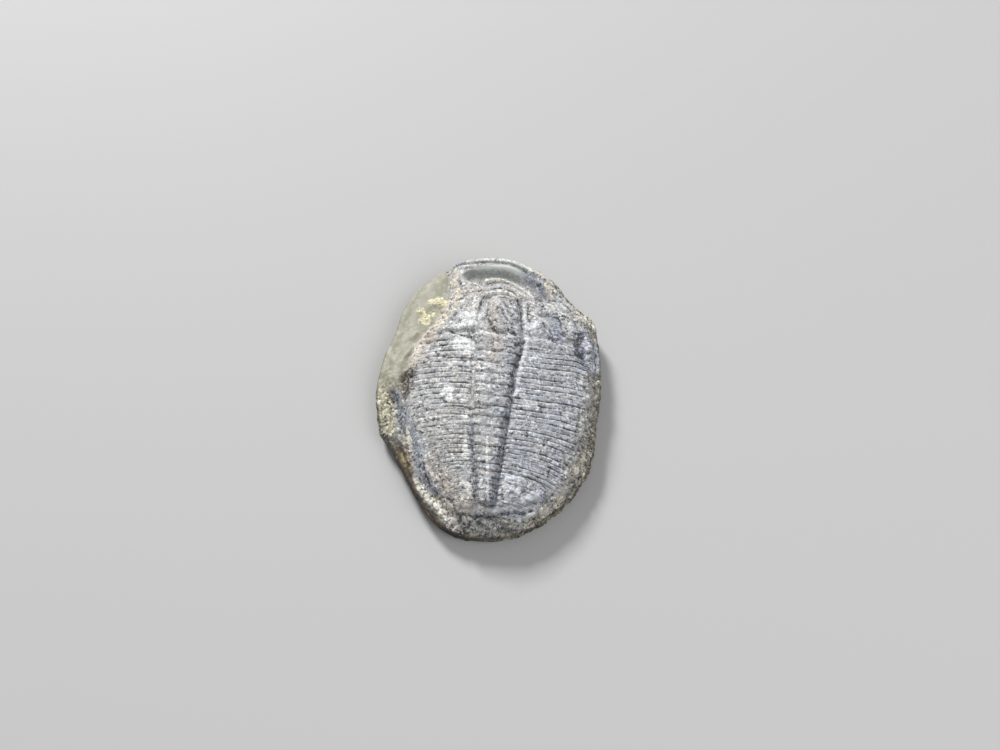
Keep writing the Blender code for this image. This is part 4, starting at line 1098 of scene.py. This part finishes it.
limestone, tree, shader = stone_colours("weathered_limestone", (0.33, 0.34, 0.34), 0.62)
# Grain: lumps of several sizes, crystals side by side, and a few very pale and very dark ones.
home = read(tree, "home", "Vector")
broad = mottle(home, 0.5, 3.0, 0.6)
middling = mottle(home, 1.7, 4.0, 0.65)
coarse = grains(home, COARSE)
small = grains(home, SMALL)
dust = mottle(home, 9.5, 2.0, 0.7)
grit = (coarse - 0.5) * 0.12 + (coarse.beside("Dome") - 0.6) * 0.08
grit = grit + (small - 0.5) * 0.27 + (dust - 0.5) * 0.65
grit = grit + small.rise(0.88, 0.92) * 0.14 - (1.0 - small.rise(0.07, 0.10)) * 0.16
# Streaks, and the furrows at the joint and the middle of each segment, darkened with painted shade and dirt,
# with a paler band beside them. The lobe's ring furrows get more painted shade towards its flanks, most on
# its right.
phase, across, streaky = read(tree, "phase"), read(tree, "across"), read(tree, "streaky")
stretched = put(tree, "ShaderNodeCombineXYZ", (across * STREAKS_ACROSS, phase * STREAKS_ALONG, 4.0))
streak = grains(stretched, 1.0)
part = phase.math("FRACT")
to_joint, to_middle = part.math("MINIMUM", 1.0 - part), (part - 0.5).math("ABSOLUTE")
at_joint, at_middle = 1.0 - to_joint.rise(0.020, 0.085), 1.0 - to_middle.rise(0.015, 0.075)
beside_lines = (to_joint.rise(0.05, 0.11) - to_joint.rise(0.13, 0.21)).math(
    "MAXIMUM", (to_middle.rise(0.04, 0.10) - to_middle.rise(0.12, 0.20)) * 0.8)
furrow = at_joint * (read(tree, "joint_shows") * 0.6 + 0.4)
furrow = furrow.math("MAXIMUM", at_middle * (read(tree, "middle_shows") * 0.75 + 0.2))
patchy = middling.rise(0.46, 0.60) * ((across * -1.0).rise(1.0, 4.0) * 0.40 + 0.15)
ring_shade_side = (across.rise(0.2, 1.4) + (across * -1.0).rise(0.8, 1.8) * 0.4) * 0.35 + 0.38
furrow = furrow * (1.0 - patchy) * read(tree, "on_side") + at_joint * read(tree, "on_lobe") * ring_shade_side
# Painted shade on the flanks of the middle lobe, strongest at each ring's joint as a painted shadow notch.
ring_notch_shadow = 1.0 - to_joint.rise(0.03, 0.20)
bands = read(tree, "painted_flank_shade") * (ring_notch_shadow * 0.75 + 0.45) * (middling * 1.6 - 0.05)
# Dark rims of the flakes and of small scabs, and cracks.
worn = read(tree, "rough").math("MINIMUM", 1.0)
rim = calcite_sheet(home, read(tree, "white"), 5.0).near(FLAKE_LEVEL, 0.014) * worn
scab = mottle(shifted(home, 9.0, 0.9, 1.5, 1.0), 2.4, 4.0, 0.62, 0.4)
scab_rim = scab.near(0.555, 0.016) * worn
crack = mottle(home, 0.9, 5.0, 0.60, 0.6).near(0.5, 0.009) * broad.rise(0.40, 0.54) * read(tree, "rough")
# Tone of the shell: its grain, scabs, streaks, white places and painted highlights, and then all that is dark
# in it, with painted shade and dirt in the furrows and painted shade on the lobe's flanks, in the pits and in
# the creases.
gritty = mottle(shifted(home, 7.0, 1.0, 1.4, 1.0), 0.9, 3.0, 0.6).rise(0.38, 0.60) * 0.85 + 0.75
gritty = gritty - read(tree, "band") * 0.8 - streaky * 0.20 - read(tree, "behind") * 0.2
tone = (broad - 0.5) * 0.45 + (middling - 0.5) * 0.38 + grit * gritty + 0.54
tone = tone - read(tree, "band") * 0.16
tone = tone + scab.rise(0.55, 0.57) * read(tree, "animal") * 0.12 - scab_rim * 0.20
tone = tone + (streak - 0.5) * streaky * 0.22 + (streak.beside("Dome") - 0.6) * streaky * 0.14
tone = tone + stain(home, read(tree, "white"), 2.6, 0.7) * 0.26
tone = tone + read(tree, "flake") * 0.13 - rim * 0.26
tone = tone + beside_lines * (read(tree, "on_side") * 0.13 + read(tree, "on_lobe") * 0.06)
tone = tone - furrow * 0.46 - bands * 0.48 - read(tree, "pit") * 0.20
tone = tone - crack * 0.28 - read(tree, "crease") * 0.40
tone = tone - stain(home, read(tree, "dark"), 2.4, 0.5) * 0.42
tone = tone - read(tree, "blue") * 0.14 - read(tree, "behind") * 0.24
# Plates of shell with gaps between them, and a web of calcite and fibres in the broken rock.
plate = grains(shifted(home, 6.0, 1.0, 1.5, 1.0), PLATES)
plate_rim = (1.0 - plate.beside("Gap").rise(0.02, 0.045)) * broad.rise(0.36, 0.48)
tone = tone + ((plate - 0.5) * 0.20 - plate_rim * 0.32) * worn * read(tree, "animal")
web = mottle(home, 2.2, 3.0, 0.6, 0.5).near(0.5, 0.035)
tone = tone + (middling - 0.5) * (read(tree, "behind") * 1.2 + read(tree, "broken") * 0.9)
fibre = (mottle(shifted(home, 2.0, 1.0, 2.2, 1.0), 3.0, 3.0, 0.6, 1.2) - 0.5) * 2.2
tone = tone + web * (read(tree, "behind") * 0.50 + read(tree, "broken") * 0.30)
tone = tone + fibre * read(tree, "broken") * 0.85
# Colour of the shell: warm and cool patches all over, its cool, pink, rusty and blue places, and a blue tint
# in the painted flank shade.
colour = ramp(tone, *NEUTRAL)
tint = mottle(shifted(home, 11.0), 1.3, 4.0, 0.7).rise(0.34, 0.66)
colour = tinted(tree, 1.0, colour, painted(tree, tint, COOL_GRAIN, WARM_GRAIN))
colour = tinted(tree, read(tree, "cool"), colour, COOL)
colour = tinted(tree, stain(home, read(tree, "pink"), 1.5, 0.6), colour, WARM)
colour = tinted(tree, read(tree, "dark") * (across * -1.0).rise(0.0, 1.0), colour, RUSTY)
# A blue tint in the blue places, and in the painted flank shade towards the tail.
blue = read(tree, "blue").math("MAXIMUM", bands * (phase - 5.0).rise(0.0, 4.0))
colour = tinted(tree, blue * 0.9, colour, BLUE)
# White chips, and cream patches, some of them painted highlight on the front step, the lobe tip and the rim.
chipped = tinted(tree, 1.0, CHIP_WHITE, grit * 1.2 + (middling - 0.5) * 0.5 + 1.0)
chip = stain(home, read(tree, "chip"), 2.6, 0.5).rise(0.30, 0.38)
colour = painted(tree, chip * 0.85, colour, chipped)
cream_and_highlight_cover = stain(home, read(tree, "cream_and_highlight"), 2.8, 0.8)
grainy_cream = tinted(tree, 1.0, CREAM, (grit + (middling - 0.5) * 0.6 - crack * 0.5) * 2.0 + 0.98)
colour = painted(tree, cream_and_highlight_cover * 0.70, colour, grainy_cream)
# The knobbly crust with painted shade in the gaps between its knobs and in its creases, sandy khaki rock, and
# chalky lumps with dark gaps.
knob = grains(home, KNOBS)
knob_gap_shade = 1.0 - knob.beside("Gap").rise(0.0, 0.12)
crusty = (knob - 0.5) * 0.50 + (middling - 0.5) * 1.1 + (broad - 0.5) * 0.7 + grit * 1.5 + 0.50
crusty = crusty - knob_gap_shade * 0.30 - read(tree, "crease") * 0.35 + cream_and_highlight_cover * 0.34 + read(tree, "khaki") * 0.20
crusty = ramp(crusty + read(tree, "left_low") * 0.10 - read(tree, "behind") * 0.10, *CRUSTY)
greyed = painted(tree, read(tree, "grey_crust"), crusty, colour)
colour = painted(tree, stain(home, read(tree, "crust"), 1.6, 0.6) * 0.92, colour, greyed)
sandy = ramp((small - 0.5) * 0.5 + (middling - 0.5) * 1.0 + grit + 0.52, *SANDY)
colour = painted(tree, stain(home, read(tree, "khaki"), 2.0, 0.5) * 0.85, colour, sandy)
lump = grains(home, LUMPS)
lump_gap = 1.0 - lump.beside("Gap").rise(0.0, 0.07)
chalky = ramp((lump - 0.5) * 0.3 + (middling - 0.5) * 1.0 + grit * 0.9 - lump_gap * 0.6 + 0.70, *CHALK)
colour = painted(tree, stain(home, read(tree, "chalk"), 2.0, 0.7) * 0.9, colour, chalky)
# The smooth mudstone of the ledge and of the hollow, whose colour carries a painted highlight along the roll
# and painted shade in its middle, and yellow spots.
pale = (middling + grit * 0.25 + read(tree, "white") * 0.3).rise(0.35, 0.75)
colour = painted(tree, read(tree, "ledge") * 0.95, colour, painted(tree, pale, KHAKI, PALE_KHAKI))
pale = broad * 0.5 + read(tree, "roll") * 0.75 + read(tree, "white") * 0.30 - read(tree, "shade") * 0.55
pale = (pale + grit * 0.55 + 0.30).rise(0.0, 1.0)
mudstone = painted(tree, pale, GREY_GREEN, PALE_GREEN)
colour = painted(tree, read(tree, "hollow") * (1.0 - cream_and_highlight_cover) * 0.85, colour, mudstone)
grainy_yellow = tinted(tree, 1.0, YELLOW, (grit + (middling - 0.5) * 0.8) * 2.0 + 1.0)
colour = painted(tree, stain(home, read(tree, "yellow"), 3.2, 1.1) * 0.8, colour, grainy_yellow)
# The side wall: ochre layers of rock in near-black painted shade at the lower left, and painted shade
# darkening the plain rock elsewhere.
layered = vector_math("MULTIPLY", home, (0.30, 0.30, 2.4))
layers = ramp(mottle(layered, 1.0, 4.0, 0.6) + grit * 0.18, *STRATA_AND_SHADE)
colour = painted(tree, read(tree, "ochre_and_wall_shade"), colour, layers)
wall_shade_cover = read(tree, "wall") * (1.0 - read(tree, "ochre_and_wall_shade"))
colour = painted(tree, wall_shade_cover, colour, tinted(tree, 1.0, colour, WALL_SHADE))
tree.links.new(colour.socket, shader.inputs["Base Color"])
# The smooth places shine a little, and elsewhere the grains stand up.
roughness = 0.64 - read(tree, "hollow") * 0.24 - read(tree, "ledge") * 0.06 + (middling - 0.5) * 0.2
tree.links.new(roughness.socket, shader.inputs["Roughness"])
height = small.beside("Dome") * 0.4 + dust * 0.6 + coarse.beside("Dome") * 0.4
height = height * (1.0 - read(tree, "smooth") * 0.85)
bump = put(tree, "ShaderNodeBump", {"Strength": 0.6, "Distance": GRAIN_RELIEF * MM, "Height": height})
tree.links.new(bump.socket, shader.inputs["Normal"])


def add_tree(obj, tree, values):
    """Adds a Geometry Nodes modifier with these named inputs."""
    modifier = obj.modifiers.new(tree.name, "NODES")
    modifier.node_group = tree
    for socket in tree.interface.items_tree:
        if socket.item_type == "SOCKET" and socket.in_out == "INPUT" and socket.name in values:
            modifier[socket.identifier] = values[socket.name]


def settle(obj, name):
    """The evaluated object as a plain mesh object in metres, at the origin."""
    bpy.context.scene.collection.objects.link(obj)
    graph = bpy.context.evaluated_depsgraph_get()
    mesh = bpy.data.meshes.new_from_object(obj.evaluated_get(graph))
    bpy.data.objects.remove(obj)
    mesh.name = name
    mesh.transform(Matrix.Scale(MM, 4))
    piece = bpy.data.objects.new(name, mesh)
    bpy.context.scene.collection.objects.link(piece)
    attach(piece, "root")
    return piece


rough_stone = bpy.data.objects.new("fossil_stone_form", stone_mesh)
add_tree(rough_stone, segment_relief(), {
    "Ring Height": 0.13, "Rib Height": 0.12, "Furrow Width": 0.13, "Wander": 0.22,
    "Streak Height": 0.03, "Seed": 4.0, "Material": limestone})
add_tree(rough_stone, weathered_surface(), {
    "Lump Height": 0.17, "Grain Height": 0.025, "Crust Height": 0.24, "Flake Height": 0.035,
    "Pit Depth": 0.07, "Seed": 2.0, "Material": limestone})
stone = settle(rough_stone, "fossil_stone")
stone.data.shade_smooth()
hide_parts("trilobite_fossil")

# Crumbs: loose-looking grains of calcite and broken rock, stuck in the weathered skin of the stone. They are
# small faceted lumps, scattered over the crust, the shell and the yellow places, and sunk in part.
FULL_TURN = 6.28
CRUMB_FLATNESS = (0.8, 0.65)
CRUMB_JOLT = 0.09


def scattered_crumbs():
    """Small faceted lumps on the places where a named mask is high."""
    tree, given = new_tree("scattered crumbs", "GeometryNodeTree", (
        ("Geometry", "Geometry", None), ("String", "Where", "crust"), ("Float", "Density", 10.0),
        ("Float", "Least Size", 0.10), ("Float", "Greatest Size", 0.25), ("Float", "Sink", 0.3),
        ("Int", "Seed", 1), ("Material", "Material", None)), (("Geometry", "Geometry"),))
    node = tree.nodes.new("GeometryNodeInputNamedAttribute")
    node.data_type = "FLOAT"
    tree.links.new(given["Where"].socket, node.inputs["Name"])
    cover = Value(tree, next(s for s in node.outputs if s.enabled and s.name == "Attribute"))
    points = put(tree, "GeometryNodeDistributePointsOnFaces", {
        "Mesh": given["Geometry"], "Density": cover * given["Density"], "Seed": given["Seed"]})
    size = put(tree, "FunctionNodeRandomValue", {
        2: given["Least Size"], 3: given["Greatest Size"], "Seed": given["Seed"]}, out=1)
    sink = vector_math("SCALE", points.beside("Normal"), size * given["Sink"] * -1.0)
    placed = put(tree, "GeometryNodeSetPosition", {"Geometry": points, "Offset": sink})
    turn = put(tree, "FunctionNodeRandomValue", {
        1: (FULL_TURN, FULL_TURN, FULL_TURN), "Seed": given["Seed"] + 1.0}, data_type="FLOAT_VECTOR")
    flat = put(tree, "ShaderNodeCombineXYZ", (size, size * CRUMB_FLATNESS[0], size * CRUMB_FLATNESS[1]))
    lump = put(tree, "GeometryNodeMeshIcoSphere", {"Radius": 0.5, "Subdivisions": 1})
    crumbs = put(tree, "GeometryNodeInstanceOnPoints", {
        "Points": placed, "Instance": lump, "Rotation": turn, "Scale": flat})
    own = put(tree, "FunctionNodeRandomValue", {"Seed": given["Seed"] + 2.0}, out=1)
    crumbs = keep(crumbs, "own_tone", own, "INSTANCE")
    crumbs = put(tree, "GeometryNodeRealizeInstances", (crumbs,))
    where = put(tree, "GeometryNodeInputPosition")
    jolt = put(tree, "ShaderNodeTexNoise", {"Vector": where, "Scale": 9.0}, out=1)
    jolt = vector_math("SCALE", vector_math("SUBTRACT", jolt, (0.5, 0.5, 0.5)), CRUMB_JOLT)
    crumbs = put(tree, "GeometryNodeSetPosition", {"Geometry": crumbs, "Offset": jolt})
    return finish_tree(crumbs, given["Material"])


CRUMB_TREE = scattered_crumbs()
SHELL_SPECKS = ((0.0, (0.30, 0.31, 0.33)), (0.5, (0.55, 0.55, 0.55)), (1.0, (0.85, 0.85, 0.83)))
KHAKI_SPECKS = ((0.0, (0.16, 0.15, 0.09)), (0.5, (0.40, 0.37, 0.24)), (1.0, (0.66, 0.62, 0.45)))
# Name, mask, number to the square millimetre, least and greatest size, share sunk in, seed, colours.
CRUMBS = (
    ("crust_crumbs", "crust", 3.5, 0.08, 0.30, 0.38, 3, CRUSTY),
    ("shell_crumbs", "animal", 2.5, 0.05, 0.13, 0.40, 5, SHELL_SPECKS),
    ("khaki_crumbs", "khaki", 12.0, 0.06, 0.15, 0.36, 7, KHAKI_SPECKS),
)
for name, where, density, least, greatest, sink, seed, stops in CRUMBS:
    material, tree, shader = stone_colours(name, stops[1][1], 0.6)
    speck = mottle(vector_math("SCALE", put(tree, "ShaderNodeTexCoord", out=3), 1 / MM), 8.0)
    colour = ramp(read(tree, "own_tone") * 0.8 + speck * 0.4 - 0.1, *stops)
    tree.links.new(colour.socket, shader.inputs["Base Color"])
    bed = stone.data.copy()
    bed.transform(Matrix.Scale(1 / MM, 4))
    form = bpy.data.objects.new(name + "_form", bed)
    add_tree(form, CRUMB_TREE, {
        "Where": where, "Density": density, "Least Size": least, "Greatest Size": greatest, "Sink": sink,
        "Seed": seed, "Material": material})
    crumbs = settle(form, name)
    print(name, len(crumbs.data.polygons))
